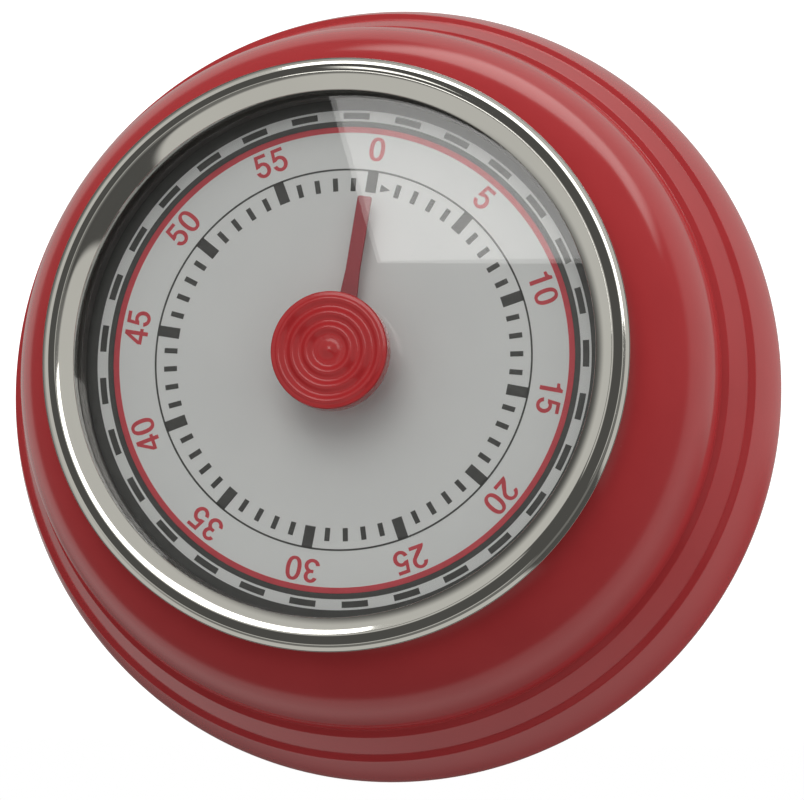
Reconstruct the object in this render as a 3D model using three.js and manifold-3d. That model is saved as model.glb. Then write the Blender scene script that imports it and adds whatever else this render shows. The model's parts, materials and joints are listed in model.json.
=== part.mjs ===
// Clockwork kitchen timer, 60 minutes, with a magnetic back.
// Millimetres. The timer lies on its back: +Z points out of the dial, +Y towards the 0 mark,
// and the origin is the centre of the back, on the surface that the magnet and the foot ring rest on.
import * as THREE from "three";
import { mergeVertices } from "three/addons/utils/BufferGeometryUtils.js";
import Module from "manifold-3d";

const wasm = await Module();
wasm.setup();

// ---- driving dimensions -------------------------------------------------------------------------

const bodyRadius = 35; // widest radius of the red body
const dialHeight = 27; // the dial's face above the back
const wall = 0.9; // sheet steel of the body
const fitGap = 0.3; // between pieces that touch or nest
const runningGap = 0.1; // pivots, screws in their holes, and pieces that are clamped together

// stepped bands of the body: radius of each rounded edge, its depth below the dial's face, and
// the share of the band's height over which it stays nearly upright
const frontBand = { radius: bodyRadius - 3.8, depth: 12.35 };
const middleBand = { radius: bodyRadius - 1.95, depth: 16.15, upright: 0 };
const baseBand = { radius: bodyRadius, depth: 24, upright: 0.345 };
const shoulderRise = 15.5; // height of the quarter ellipse of the front shoulder
const stepWidth = 0.6; // ledge between a band's edge and the next band
const stepHeight = 0.6;

const lensRadius = 23.1;
const lensThickness = 1.0;
const lensTop = 3.3; // above the dial's face
const bezelWall = 0.35;
const bezelLip = 0.25; // how far the bezel's lip covers the lens
const bezelFlange = 2.2; // how far the rim stands out beyond the bezel's skirt
const bezelCrest = { width: 1.5, height: 5.42 }; // outward from the lip, and above the dial's face
const bezelDomeEdge = 4.8; // inner edge of the domed face, above the dial's face
const bezelRim = { height: 4.5, thickness: 0.38, width: 0.6, edge: 0.16 };
const skirtFoot = 0.5; // lower edge of the bezel's skirt, above the dial's face
const retainerWidth = 0.5;
const retainerFoot = 0.7; // lower edge of the retainer, above the dial's face

const hubRadius = 5.1;
const hubFront = 6.6; // above the dial's face
const hubRise = 2.2; // height of the cap above its underside
const hubShank = 2.6;
const rippleRadii = [0, 1.95, 3.2, 4.45]; // centre bump, then the crests
const rippleDepth = 0.28;
const pointerLength = 14.1;
const pointerWidth = 1.25;
const pointerRoot = 1.6;
const pointerThickness = 0.3;
const pointerHeight = 1.6; // underside, above the dial's face

const dialThickness = 0.6;
const dialFeet = { x: 14, radius: 0.7, depth: 0.4 }; // depth: how far they stand in the front plate
const seatThickness = 0.9; // flange of the body that carries the dial and the movement
const seatInner = 18;

const coverThickness = 0.8;
const coverRecess = 1.2; // the cover's outer face above the surface the timer rests on
const curlWall = 2; // rolled back edge of the body
const curlLift = 0.4; // the rolled edge above the surface the timer rests on
const magnetRadius = 10;
const magnetHeight = 3.2;
const cupWall = 0.7;
const footRingWidth = 2.5;
const slotCount = 5; // sound slots in the back cover
const slotSize = { length: 7, width: 1.6, radius: 19 };

const bellRadius = 13;
const bellHeight = 4.4;
const bellWall = 0.8;
const bellCentre = { x: 3, y: -4 };
const bellBottom = 5;
const bellPostRadius = 2.2;

const plateThickness = 1;
const plateRadius = 22.3;
const backPlateBottom = 11;
const screwRadius = 1; // every screw's shank
const screwHead = { radius: 1.8, height: 0.9 };
const screwSeat = 0.02; // a screw's head stands this far off the piece that it clamps
const pillarScrewReach = 2.5;
const pillarRadius = 1.5;
const pillarSpots = [polar(19.5, 148), polar(20, 45), polar(20, 308)];
const movementScrewSpots = [75, 195, 345].map((angle) => polar(20, angle));
const coverScrewAngles = [90, 210, 330];

const staffRadius = 0.6;
const pivotRadius = 0.45;
const mainArborRadius = 1.5;
const wheelThickness = 0.8;
const meshGap = 0.1; // added to each pair's centre distance
const mainTeeth = { wheel: 50, pinion: 10, module: 0.48 };
const secondTeeth = { wheel: 48, pinion: 8, module: 0.375 };
const thirdTeeth = { wheel: 48, pinion: 8, module: 0.3125 };
const trainRadius = 15.5; // the third arbor and those after it lie on this circle
const escapeWheel = { teeth: 20, radius: 5, thickness: 0.6 };
const balanceRadius = 5.5;
const mainspring = { inner: 2.4, outer: 9.4, turns: 6, height: 6, strip: 0.3 };
const hairspring = { inner: 1.1, outer: 3.4, turns: 4, height: 0.4, strip: 0.15, level: 4.7 };
const strikeSpring = { inner: 1.3, outer: 4.1, turns: 4, height: 3.5, strip: 0.25, level: 4.6 };
const starWheel = { teeth: 12, radius: 4.6, level: 2.9, thickness: 0.8 }; // level above the back plate
const ratchet = { teeth: 16, tip: 3.6, root: 3, thickness: 0.7 };
const click = { pivotRadius: 6.4, pivotAngle: 8, tipRadius: 4.3, tipAngle: -22, width: 0.8, eye: 1 };
const pallet = { hub: 1.3, reach: 3.6, spread: 48, arm: 1, thickness: 0.6, lift: 0.9 };
const palletPin = { radius: 0.35, clear: 0.25 }; // clear of the escape wheel's face
const fork = { root: 4, tip: 5.6, rootGap: 0.55, tipGap: 0.75, stem: 1.2, prong: 0.6 };
const roller = { radius: 1.9, thickness: 0.5, level: 2.3, pin: 0.3, pinReach: 1.5 };
const balance = { rim: 0.9, hub: 1.4, arm: 0.7, thickness: 0.8, level: 3.4 };
const leverTail = { width: 0.8, clear: 0.4 }; // tails that point at the star wheel
const hammer = { head: 1.8, gap: 0.6, arm: 1.4, armThickness: 0.8, stem: 0.9, angle: 60 };
const hammerWire = { width: 0.4, level: 4.6, stud: 0.8, studSpot: polar(19.5, 92), tip: polar(13.6, 84) };
const camRadius = 5;
const camNotchAngle = 75; // where the notch stands at 0 minutes
const camNotchWidth = 18; // degrees
const camNotchDepth = 1.8;
const camThickness = 0.8;
const detent = { nose: 0.8, elbow: 2.3, arm: 1 };

// how many flat faces go round a turned piece, by its size
const roundFacets = { large: 40, medium: 24, small: 12, tiny: 8 };

// ---- levels, worked out from the sizes above -----------------------------------------------------

const seatTop = dialHeight - dialThickness - runningGap;
const seatBottom = seatTop - seatThickness;
const frontPlateTop = seatBottom - runningGap;
const frontPlateBottom = frontPlateTop - plateThickness;
const backPlateTop = backPlateBottom + plateThickness;
const coverTop = coverRecess + coverThickness;
const lensUnderside = dialHeight + lensTop - lensThickness;
const bezelInner = lensRadius - bezelLip;
const bezelOuter = lensRadius + runningGap + bezelWall;
const neckRadius = bezelOuter + fitGap;
const shoulderCentre = neckRadius - 2.2; // the front shoulder's ellipse has its centre inside the neck
const curlInner = bodyRadius - curlWall;
const coverScrewRadius = curlInner - screwHead.radius - runningGap * 2;
const coverFlangeInner = coverScrewRadius - screwRadius - 0.6;
const footRingOuter = coverScrewRadius - screwHead.radius - 0.6;
const dialRadius = neckRadius - fitGap;
const mainWheelLevel = backPlateTop + 1;
const secondWheelLevel = frontPlateBottom - 2.7;
const thirdWheelLevel = frontPlateBottom - 1.3;
const escapeWheelLevel = backPlateTop + 6.6;
const springLevel = mainWheelLevel + wheelThickness + 1.1;

// ---- arbor places --------------------------------------------------------------------------------

const mainSpot = { x: 0, y: 0 };
const secondSpot = polar(pairDistance(mainTeeth), 200);
const thirdSpot = around(secondSpot, pairDistance(secondTeeth), trainRadius);
const escapeSpot = around(thirdSpot, pairDistance(thirdTeeth), trainRadius);
const palletSpot = around(escapeSpot, 7, trainRadius - 0.5);
const balanceSpot = around(palletSpot, 8, trainRadius);
const strikeSpot = polar(trainRadius - 1, 60);
const hammerSpot = polar(trainRadius, 105);
const detentSpot = polar(trainRadius, 25);

// ---- finishes ------------------------------------------------------------------------------------

const finishes = {
  enamel: { color: 0xa3262c, roughness: 0.25, metalness: 0 },
  chrome: { color: 0xd8d6cc, roughness: 0.08, metalness: 1 },
  glass: { color: 0xf4f7f6, roughness: 0.03, metalness: 0, transparent: true, opacity: 0.3 },
  redPlastic: { color: 0xb32a2f, roughness: 0.35, metalness: 0 },
  dialPaint: { color: 0xc9cccb, roughness: 0.5, metalness: 0 },
  rubber: { color: 0x1d1d1d, roughness: 0.8, metalness: 0 },
  blackPlastic: { color: 0x2c2c2a, roughness: 0.45, metalness: 0 },
  steel: { color: 0xa8aaad, roughness: 0.35, metalness: 1 },
  blueSteel: { color: 0x4a5566, roughness: 0.3, metalness: 1 },
  brass: { color: 0xc29a4b, roughness: 0.3, metalness: 1 },
  ferrite: { color: 0x35322f, roughness: 0.7, metalness: 0 },
};

// ---- places and solids ---------------------------------------------------------------------------

function polar(radius, degrees) {
  const angle = (degrees * Math.PI) / 180;
  return { x: radius * Math.cos(angle), y: radius * Math.sin(angle) };
}

function pairDistance(teeth) {
  return ((teeth.wheel + teeth.pinion) * teeth.module) / 2 + meshGap;
}

// The point at a radius from the centre and at a distance from an earlier spot, on its anticlockwise side.
function around(spot, distance, radius) {
  const spotRadius = Math.hypot(spot.x, spot.y);
  const cosine = (spotRadius ** 2 + radius ** 2 - distance ** 2) / (2 * spotRadius * radius);
  const angle = Math.atan2(spot.y, spot.x) + Math.acos(cosine);
  return { x: radius * Math.cos(angle), y: radius * Math.sin(angle) };
}

function angleTo(from, to) {
  return Math.atan2(to.y - from.y, to.x - from.x);
}

function toSolid(geometry) {
  const bare = new THREE.BufferGeometry();
  bare.setAttribute("position", geometry.getAttribute("position"));
  if (geometry.index) bare.setIndex(geometry.index);
  const merged = mergeVertices(bare, 1e-4);
  const corners = merged.index.array;
  const faces = [];
  for (let i = 0; i < corners.length; i += 3) {
    const [a, b, c] = [corners[i], corners[i + 1], corners[i + 2]];
    if (a !== b && b !== c && c !== a) faces.push(a, b, c);
  }
  const vertProperties = new Float32Array(merged.attributes.position.array);
  return new wasm.Manifold(new wasm.Mesh({ numProp: 3, vertProperties, triVerts: new Uint32Array(faces) }));
}

function toGeometry(solid) {
  const mesh = solid.getMesh();
  const geometry = new THREE.BufferGeometry();
  geometry.setAttribute("position", new THREE.BufferAttribute(mesh.vertProperties, 3));
  geometry.setIndex(new THREE.BufferAttribute(mesh.triVerts, 1));
  geometry.computeVertexNormals();
  return geometry;
}

// A closed outline of [radius, z] points turned about the Z axis, listed anticlockwise.
function turned(outline, segments = roundFacets.medium) {
  const points = outline.map(([radius, z]) => new THREE.Vector2(radius, z));
  points.push(points[0].clone());
  return toSolid(new THREE.LatheGeometry(points, segments).rotateX(Math.PI / 2));
}

function disc(radius, bottom, top, segments = roundFacets.small) {
  const geometry = new THREE.CylinderGeometry(radius, radius, top - bottom, segments);
  geometry.rotateX(Math.PI / 2);
  geometry.translate(0, 0, (top + bottom) / 2);
  return toSolid(geometry);
}

function tube(inner, outer, bottom, top, segments = roundFacets.medium) {
  return turned([[inner, bottom], [outer, bottom], [outer, top], [inner, top]], segments);
}

function slab(outline, bottom, top) {
  const shape = new THREE.Shape(outline.map(([x, y]) => new THREE.Vector2(x, y)));
  const geometry = new THREE.ExtrudeGeometry(shape, { depth: top - bottom, bevelEnabled: false });
  return toSolid(geometry.translate(0, 0, bottom));
}

function at(solid, spot) {
  return solid.translate([spot.x, spot.y, 0]);
}

// Drills through everything between two levels.
function pierce(solid, radius, bottom, top, spot = mainSpot) {
  const segments = radius > mainArborRadius ? roundFacets.small : roundFacets.tiny;
  return solid.subtract(at(disc(radius, bottom - 1, top + 1, segments), spot));
}

// A flat bar with round ends between two spots.
function bar(from, to, width, bottom, top) {
  const angle = angleTo(from, to);
  const outline = [];
  for (const [spot, start] of [[to, angle - Math.PI / 2], [from, angle + Math.PI / 2]]) {
    for (let step = 0; step <= 3; step++) {
      const turn = start + (step * Math.PI) / 3;
      outline.push([spot.x + (width / 2) * Math.cos(turn), spot.y + (width / 2) * Math.sin(turn)]);
    }
  }
  return slab(outline, bottom, top);
}

// Teeth as an outline: half widths are shares of the pitch, at root, pitch and tip.
function toothedOutline(count, steps, phase) {
  const outline = [];
  for (let tooth = 0; tooth < count; tooth++) {
    const middle = phase + (tooth * 2 * Math.PI) / count;
    for (const [side, flank] of [[-1, steps], [1, steps.toReversed()]]) {
      for (const { radius, share } of flank) {
        const angle = middle + (side * share * 2 * Math.PI) / count;
        outline.push([radius * Math.cos(angle), radius * Math.sin(angle)]);
      }
    }
  }
  return outline;
}

function wheelOutline(teeth, phase) {
  const pitch = (teeth.wheel * teeth.module) / 2;
  const steps = [
    { radius: pitch - 1.2 * teeth.module, share: 0.25 },
    { radius: pitch + 0.85 * teeth.module, share: 0.1 },
  ];
  return toothedOutline(teeth.wheel, steps, phase);
}

function pinionOutline(teeth, phase) {
  const pitch = (teeth.pinion * teeth.module) / 2;
  const steps = [
    { radius: pitch - 1.15 * teeth.module, share: 0.15 },
    { radius: pitch + 0.1 * teeth.module, share: 0.15 },
    { radius: pitch + 0.6 * teeth.module, share: 0.07 },
  ];
  return toothedOutline(teeth.pinion, steps, phase);
}

// A wheel's tooth points along the line of centres, so its pinion has a gap there.
function pinionPhase(wheelSpot, pinionSpot, teeth) {
  return angleTo(pinionSpot, wheelSpot) + Math.PI / teeth.pinion;
}

function makeWheel(teeth, phase, bore, level) {
  const pitch = (teeth.wheel * teeth.module) / 2;
  let wheel = slab(wheelOutline(teeth, phase), level, level + wheelThickness);
  const windowRadius = pitch * 0.22;
  for (let window = 0; window < 3; window++) {
    const hole = disc(windowRadius, level - 1, level + wheelThickness + 1, roundFacets.tiny);
    wheel = wheel.subtract(at(hole, polar(pitch * 0.58, 45 + window * 120)));
  }
  return wheel.subtract(disc(bore, level - 1, level + wheelThickness + 1, roundFacets.small));
}

// An arbor turning in both plates: staff with thinner pivots, and leaves cut on it where it has a pinion.
function makeArbor(pinion) {
  const shoulder = 0.2;
  const low = backPlateTop + shoulder;
  const high = frontPlateBottom - shoulder;
  let arbor = disc(staffRadius, low, high, roundFacets.tiny);
  arbor = arbor.add(disc(pivotRadius, backPlateBottom, frontPlateTop, roundFacets.tiny));
  if (pinion) arbor = arbor.add(slab(pinionOutline(pinion.teeth, pinion.phase), pinion.bottom, pinion.top));
  return arbor;
}

// A flat strip wound into a spiral, from its inner end to its outer end.
function makeSpiral(size, bottom, startAngle) {
  const inside = [];
  const outside = [];
  const steps = Math.round(size.turns * 10);
  for (let step = 0; step <= steps; step++) {
    const share = step / steps;
    const radius = size.inner + (size.outer - size.inner) * share;
    const angle = startAngle + share * size.turns * 2 * Math.PI;
    inside.push([radius * Math.cos(angle), radius * Math.sin(angle)]);
    outside.push([(radius + size.strip) * Math.cos(angle), (radius + size.strip) * Math.sin(angle)]);
  }
  return slab([...outside, ...inside.reverse()], bottom, bottom + size.height);
}

// A screw whose head is below its shank: headTop is the face that clamps, and the tip points up.
function makeScrew(headTop, tip) {
  const { radius, height } = screwHead;
  const slot = new THREE.BoxGeometry(radius * 3, 0.5, 0.8).translate(0, 0, headTop - height);
  const head = disc(radius, headTop - height, headTop, roundFacets.small).subtract(toSolid(slot));
  return head.add(disc(screwRadius, headTop - 0.01, tip, roundFacets.tiny));
}

const timer = new THREE.Group();

function place(parent, name, solid, finish, spot = mainSpot) {
  const mesh = new THREE.Mesh(toGeometry(solid), new THREE.MeshStandardMaterial(finishes[finish]));
  mesh.name = name;
  mesh.position.set(spot.x, spot.y, 0);
  parent.add(mesh);
}

// ---- body ----------------------------------------------------------------------------------------

// The front shoulder is a quarter of an ellipse that ends at the first band's edge.
function shoulder(steps) {
  const spread = frontBand.radius - shoulderCentre;
  const last = Math.acos((neckRadius + 0.7 - shoulderCentre) / spread);
  const points = [];
  for (let step = 0; step <= steps; step++) {
    const angle = (last * step) / steps;
    const height = dialHeight - frontBand.depth + shoulderRise * Math.sin(angle);
    points.push([shoulderCentre + spread * Math.cos(angle), height]);
  }
  return points;
}

// A band from its own edge up to the ledge under the edge above it: upright at first, then leaning in.
function band(upper, lower, steps) {
  const edge = dialHeight - lower.depth;
  const top = dialHeight - upper.depth - stepHeight;
  const inner = upper.radius + stepWidth;
  const points = [];
  for (let step = 0; step <= steps; step++) {
    const share = step / steps;
    const height = 2 * lower.upright * share * (1 - share) + share ** 2;
    points.push([lower.radius - (lower.radius - inner) * share ** 2, edge + (top - edge) * height]);
  }
  points.push([upper.radius, dialHeight - upper.depth - stepHeight / 2]);
  return points;
}

function makeHousingShell() {
  const neck = shoulder(7);
  const neckTop = neck.at(-1)[1];
  const backEdge = [
    [bodyRadius - 1, curlLift],
    [bodyRadius - 0.3, curlLift + 0.7],
  ];
  const outer = [...backEdge, ...band(middleBand, baseBand, 4), ...band(frontBand, middleBand, 1), ...neck];
  const mouth = [
    [neckRadius + 0.2, neckTop + 0.1],
    [neckRadius, neckTop - 0.3],
    [neckRadius, seatTop],
    [seatInner, seatTop],
    [seatInner, seatBottom],
  ];
  const inner = [
    [frontBand.radius - wall - 3, seatBottom],
    [frontBand.radius - wall - 0.7, dialHeight - 8],
    [frontBand.radius - wall - 0.2, dialHeight - frontBand.depth - stepHeight],
    [middleBand.radius - wall - 0.2, dialHeight - middleBand.depth - stepHeight],
    [bodyRadius - wall - 0.2, dialHeight - baseBand.depth],
    [bodyRadius - wall - 0.2, coverTop + runningGap + wall],
    [coverFlangeInner, coverTop + runningGap + wall],
    [coverFlangeInner, coverTop + runningGap],
    [curlInner, coverTop + runningGap],
    [curlInner, curlLift],
  ];
  let shell = turned([...outer, ...mouth, ...inner], roundFacets.large);
  for (const spot of movementScrewSpots) {
    shell = pierce(shell, screwRadius + runningGap, seatBottom, seatTop, spot);
  }
  for (const angle of coverScrewAngles) {
    const hole = disc(screwRadius + runningGap, coverTop - 0.5, coverTop + 2, roundFacets.tiny);
    shell = shell.subtract(at(hole, polar(coverScrewRadius, angle)));
  }
  return shell;
}

// ---- bezel, lens, hub and pointer ----------------------------------------------------------------

function makeBezel() {
  const skirtInner = lensRadius + runningGap;
  const rimRadius = bezelOuter + bezelFlange;
  const rimTop = dialHeight + bezelRim.height;
  const rimFoot = rimRadius - bezelRim.width;
  const crestRadius = bezelInner + bezelCrest.width;
  const crestTop = dialHeight + bezelCrest.height;
  const domeEdge = dialHeight + bezelDomeEdge;
  const lipBottom = dialHeight + lensTop + runningGap;
  const outline = [
    [skirtInner, dialHeight + skirtFoot],
    [bezelOuter, dialHeight + skirtFoot],
    [bezelOuter, lipBottom + runningGap],
    [rimRadius - bezelRim.thickness, rimTop - bezelRim.thickness - bezelRim.edge],
    [rimRadius, rimTop - bezelRim.thickness],
    [rimRadius, rimTop - bezelRim.edge],
    [rimRadius - 2 * bezelRim.edge, rimTop],
    [rimFoot, rimTop + runningGap],
    [(rimFoot + crestRadius) / 2, (rimTop + 2 * crestTop) / 3],
    [crestRadius, crestTop],
    [(crestRadius + bezelInner) / 2, domeEdge + 0.65 * (crestTop - domeEdge)],
    [bezelInner + runningGap, domeEdge],
    [bezelInner, domeEdge - runningGap],
    [bezelInner, lipBottom],
    [skirtInner, lipBottom],
  ];
  return turned(outline, roundFacets.large);
}

function makeRetainer() {
  const top = lensUnderside - runningGap;
  return tube(lensRadius - retainerWidth, lensRadius, dialHeight + retainerFoot, top, roundFacets.large);
}

function makeHubCap() {
  const under = dialHeight + hubFront - hubRise;
  const front = dialHeight + hubFront;
  const outline = [[hubShank, under], [hubRadius, under], [hubRadius, front - 0.5]];
  for (const crest of rippleRadii.toReversed()) {
    outline.push([crest + 0.35, front - 0.1]);
    if (crest > 0) outline.push([crest, front]);
    if (crest > 0) outline.push([crest - 0.55, front - rippleDepth]);
  }
  const boreRadius = mainArborRadius + runningGap;
  const boreTop = front - 0.9;
  const shankBottom = lensUnderside - fitGap;
  outline.push([0, front], [0, boreTop]);
  outline.push([boreRadius, boreTop], [boreRadius, shankBottom], [hubShank, shankBottom]);
  return turned(outline, roundFacets.medium);
}

function makePointer() {
  const level = dialHeight + pointerHeight;
  const blade = slab(
    [
      [pointerRoot / 2, 0],
      [pointerWidth / 2, pointerLength * 0.45],
      [pointerWidth / 2, pointerLength - 0.2],
      [pointerWidth / 2 - 0.2, pointerLength],
      [-pointerWidth / 2 + 0.2, pointerLength],
      [-pointerWidth / 2, pointerLength - 0.2],
      [-pointerWidth / 2, pointerLength * 0.45],
      [-pointerRoot / 2, 0],
    ],
    level,
    level + pointerThickness,
  );
  const boss = disc(hubShank - 0.2, dialHeight + 0.9, level + pointerThickness, roundFacets.small);
  const hole = disc(mainArborRadius + runningGap, dialHeight, level + 1, roundFacets.small);
  return blade.add(boss).subtract(hole);
}

// ---- dial ----------------------------------------------------------------------------------------

function makeDial() {
  let dial = disc(dialRadius, dialHeight - dialThickness, dialHeight, roundFacets.large);
  const low = frontPlateBottom - dialFeet.depth;
  const foot = disc(dialFeet.radius, low, dialHeight - dialThickness / 2, roundFacets.tiny);
  for (const side of [-1, 1]) {
    dial = dial.add(at(foot, { x: side * dialFeet.x, y: 0 }));
  }
  return dial.subtract(disc(mainArborRadius + fitGap, dialHeight - 3, dialHeight + 1, roundFacets.small));
}

// ---- back ----------------------------------------------------------------------------------------

function makeBackCover() {
  let cover = disc(curlInner - fitGap, coverRecess, coverTop, roundFacets.large);
  cover = cover.subtract(disc(magnetRadius + cupWall + 2 * runningGap, 0, 4, roundFacets.medium));
  for (const angle of coverScrewAngles) {
    const hole = disc(screwRadius + runningGap, 0, 4, roundFacets.tiny);
    cover = cover.subtract(at(hole, polar(coverScrewRadius, angle)));
  }
  for (let slot = 0; slot < slotCount; slot++) {
    const y = (slot - (slotCount - 1) / 2) * slotSize.width * 2;
    const ends = [-0.5, 0.5].map((end) => ({ x: slotSize.radius + end * slotSize.length, y }));
    cover = cover.subtract(bar(ends[0], ends[1], slotSize.width, 0, 4));
  }
  return cover;
}

function makeMagnetCup() {
  const inner = magnetRadius + runningGap;
  const outer = inner + cupWall;
  const top = magnetHeight + runningGap;
  const flangeBottom = coverTop + runningGap;
  return turned(
    [
      [0, top],
      [inner, top],
      [inner, 0.2],
      [outer, 0.2],
      [outer, flangeBottom],
      [outer + 2, flangeBottom],
      [outer + 2, flangeBottom + cupWall],
      [outer, flangeBottom + cupWall],
      [outer, top + cupWall],
      [0, top + cupWall],
    ],
    roundFacets.medium,
  );
}

// ---- bell ----------------------------------------------------------------------------------------

const bellTop = bellBottom + bellHeight;

function makeBell() {
  const hole = screwRadius + runningGap;
  const outside = [];
  const inside = [];
  const steps = 4;
  const crown = 84; // degrees of the curve before the flat top
  for (let step = 0; step <= steps; step++) {
    const angle = THREE.MathUtils.degToRad((crown * step) / steps);
    const [across, up] = [Math.cos(angle), Math.sin(angle)];
    outside.push([bellRadius * across, bellBottom + bellHeight * up]);
    inside.push([(bellRadius - bellWall) * across, bellBottom + (bellHeight - bellWall) * up]);
  }
  outside.push([hole, bellTop]);
  inside.push([hole, bellTop - bellWall]);
  return turned([...outside, ...inside.reverse()], roundFacets.medium);
}

// ---- movement frame ------------------------------------------------------------------------------

const trainSpots = [secondSpot, thirdSpot, escapeSpot, palletSpot, balanceSpot];
const pivotSpots = [...trainSpots, strikeSpot, hammerSpot, detentSpot];

function makePlate(bottom, holeSpots) {
  let plate = disc(plateRadius, bottom, bottom + plateThickness, roundFacets.large);
  const drill = (radius, spots) => {
    for (const spot of spots) {
      plate = pierce(plate, radius, bottom, bottom + plateThickness, spot);
    }
  };
  drill(pivotRadius + runningGap, pivotSpots);
  drill(screwRadius + runningGap, holeSpots);
  return pierce(plate, mainArborRadius + runningGap, bottom, bottom + plateThickness);
}

function makePillar() {
  const low = backPlateTop + runningGap;
  const high = frontPlateBottom - runningGap;
  const post = disc(pillarRadius, low, high, roundFacets.small);
  const spigot = disc(screwRadius, high - 0.5, frontPlateTop - runningGap, roundFacets.tiny);
  return post.add(spigot).subtract(disc(screwRadius + runningGap, low - 1, low + 3, roundFacets.tiny));
}

// ---- escapement and striking work ----------------------------------------------------------------

function makeEscapeWheel() {
  const { teeth, radius } = escapeWheel;
  const outline = [];
  for (let tooth = 0; tooth < teeth; tooth++) {
    const start = (tooth * 360) / teeth;
    const tip = polar(radius, start);
    const back = polar(radius * 0.99, start + 1.5);
    const root = polar(radius * 0.78, start + 9);
    const front = polar(radius * 0.78, start + 15);
    outline.push([tip.x, tip.y], [back.x, back.y], [root.x, root.y], [front.x, front.y]);
  }
  const wheel = slab(outline, escapeWheelLevel, escapeWheelLevel + escapeWheel.thickness);
  return pierce(wheel, staffRadius + runningGap, escapeWheelLevel, escapeWheelLevel + escapeWheel.thickness);
}

// The lever's own frame: its arbor at the origin, the escape wheel along -X, the balance along +X.
function makePalletLever() {
  const level = escapeWheelLevel + pallet.lift;
  const top = level + pallet.thickness;
  const pinBottom = escapeWheelLevel + escapeWheel.thickness + palletPin.clear;
  let lever = disc(pallet.hub, level, top, roundFacets.small);
  for (const side of [-1, 1]) {
    const tip = polar(pallet.reach, 180 + side * pallet.spread);
    lever = lever.add(bar(mainSpot, tip, pallet.arm, level, top));
    lever = lever.add(at(disc(palletPin.radius, pinBottom, top, roundFacets.tiny), tip));
    const root = { x: fork.root, y: side * fork.rootGap };
    lever = lever.add(bar(root, { x: fork.tip, y: side * fork.tipGap }, fork.prong, level, top));
  }
  lever = lever.add(bar(mainSpot, { x: fork.root, y: 0 }, fork.stem, level, top));
  return lever.add(makeArbor());
}

function makeBalanceStaff() {
  const level = escapeWheelLevel + roller.level;
  const table = disc(roller.radius, level, level + roller.thickness, roundFacets.small);
  const pin = disc(roller.pin, level - pallet.thickness, level + runningGap, roundFacets.tiny);
  return makeArbor().add(table).add(at(pin, { x: -roller.pinReach, y: 0 }));
}

function makeBalanceWheel() {
  const level = escapeWheelLevel + balance.level;
  const top = level + balance.thickness;
  let wheel = tube(balanceRadius - balance.rim, balanceRadius, level, top, roundFacets.medium);
  wheel = wheel.add(disc(balance.hub, level, top, roundFacets.small));
  for (const angle of [0, 120, 240]) {
    const end = polar(balanceRadius - balance.rim / 2, angle);
    wheel = wheel.add(bar(mainSpot, end, balance.arm, level + runningGap, top - runningGap));
  }
  return pierce(wheel, staffRadius + runningGap, level, top);
}

const starBottom = backPlateTop + starWheel.level;
const starTop = starBottom + starWheel.thickness;

function makeStarWheel() {
  const { teeth, radius } = starWheel;
  const steps = [
    { radius: radius * 0.72, share: 0.4 },
    { radius, share: 0.06 },
  ];
  const wheel = slab(toothedOutline(teeth, steps, 0), starBottom, starTop);
  return pierce(wheel, staffRadius + runningGap, starBottom, starTop);
}

// A tail from an arbor at a spot towards the star wheel, in the arbor's own frame.
function tailToStar(spot) {
  const distance = Math.hypot(strikeSpot.x - spot.x, strikeSpot.y - spot.y);
  const reach = distance - starWheel.radius - fitGap - leverTail.clear;
  const tip = polar(reach, THREE.MathUtils.radToDeg(angleTo(spot, strikeSpot)));
  return bar(mainSpot, tip, leverTail.width, starBottom, starTop);
}

// The hammer's arbor comes out through the back plate, and its arm swings beside the bell.
const armLevel = bellBottom + 0.5;
const headReach = polar(bellRadius + hammer.gap + hammer.head, hammer.angle);
const headSpot = { x: bellCentre.x + headReach.x, y: bellCentre.y + headReach.y };

function makeHammerArbor() {
  const head = { x: headSpot.x - hammerSpot.x, y: headSpot.y - hammerSpot.y };
  let arbor = makeArbor().add(disc(pivotRadius, armLevel, backPlateTop, roundFacets.tiny));
  arbor = arbor.add(bar(mainSpot, head, hammer.arm, armLevel, armLevel + hammer.armThickness));
  arbor = arbor.add(tailToStar(hammerSpot));
  return pierce(arbor, hammer.stem + runningGap, armLevel, armLevel + hammer.armThickness, head);
}

function makeHammerHead() {
  const low = armLevel - runningGap;
  const rim = disc(hammer.head, armLevel - 1.5, low, roundFacets.small);
  const stem = disc(hammer.stem, low - 0.5, armLevel + 1.2, roundFacets.tiny);
  return rim.add(stem);
}

// A wire from a stud in the back plate to the hammer's tail.
function makeHammerSpring() {
  const level = backPlateTop + hammerWire.level;
  const wire = bar(hammerWire.studSpot, hammerWire.tip, hammerWire.width, level, level + hammerWire.width);
  const studTop = level + 2 * hammerWire.width;
  const stud = disc(hammerWire.stud, backPlateTop + runningGap, studTop, roundFacets.tiny);
  return wire.add(at(stud, hammerWire.studSpot));
}

// ---- release work --------------------------------------------------------------------------------

const camLevel = frontPlateBottom - 1.4;

function makeReleaseCam() {
  const outline = [];
  const notchRadius = camRadius - camNotchDepth;
  const half = camNotchWidth / 2;
  for (const [radius, angle] of [[notchRadius, camNotchAngle - half], [notchRadius, camNotchAngle + half]]) {
    const corner = polar(radius, angle);
    outline.push([corner.x, corner.y]);
  }
  for (let step = 0; step <= 30; step++) {
    const point = polar(camRadius, camNotchAngle + half + ((360 - camNotchWidth) * step) / 30);
    outline.push([point.x, point.y]);
  }
  const cam = slab(outline, camLevel, camLevel + camThickness);
  return pierce(cam, mainArborRadius + runningGap, camLevel, camLevel + camThickness);
}

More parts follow.
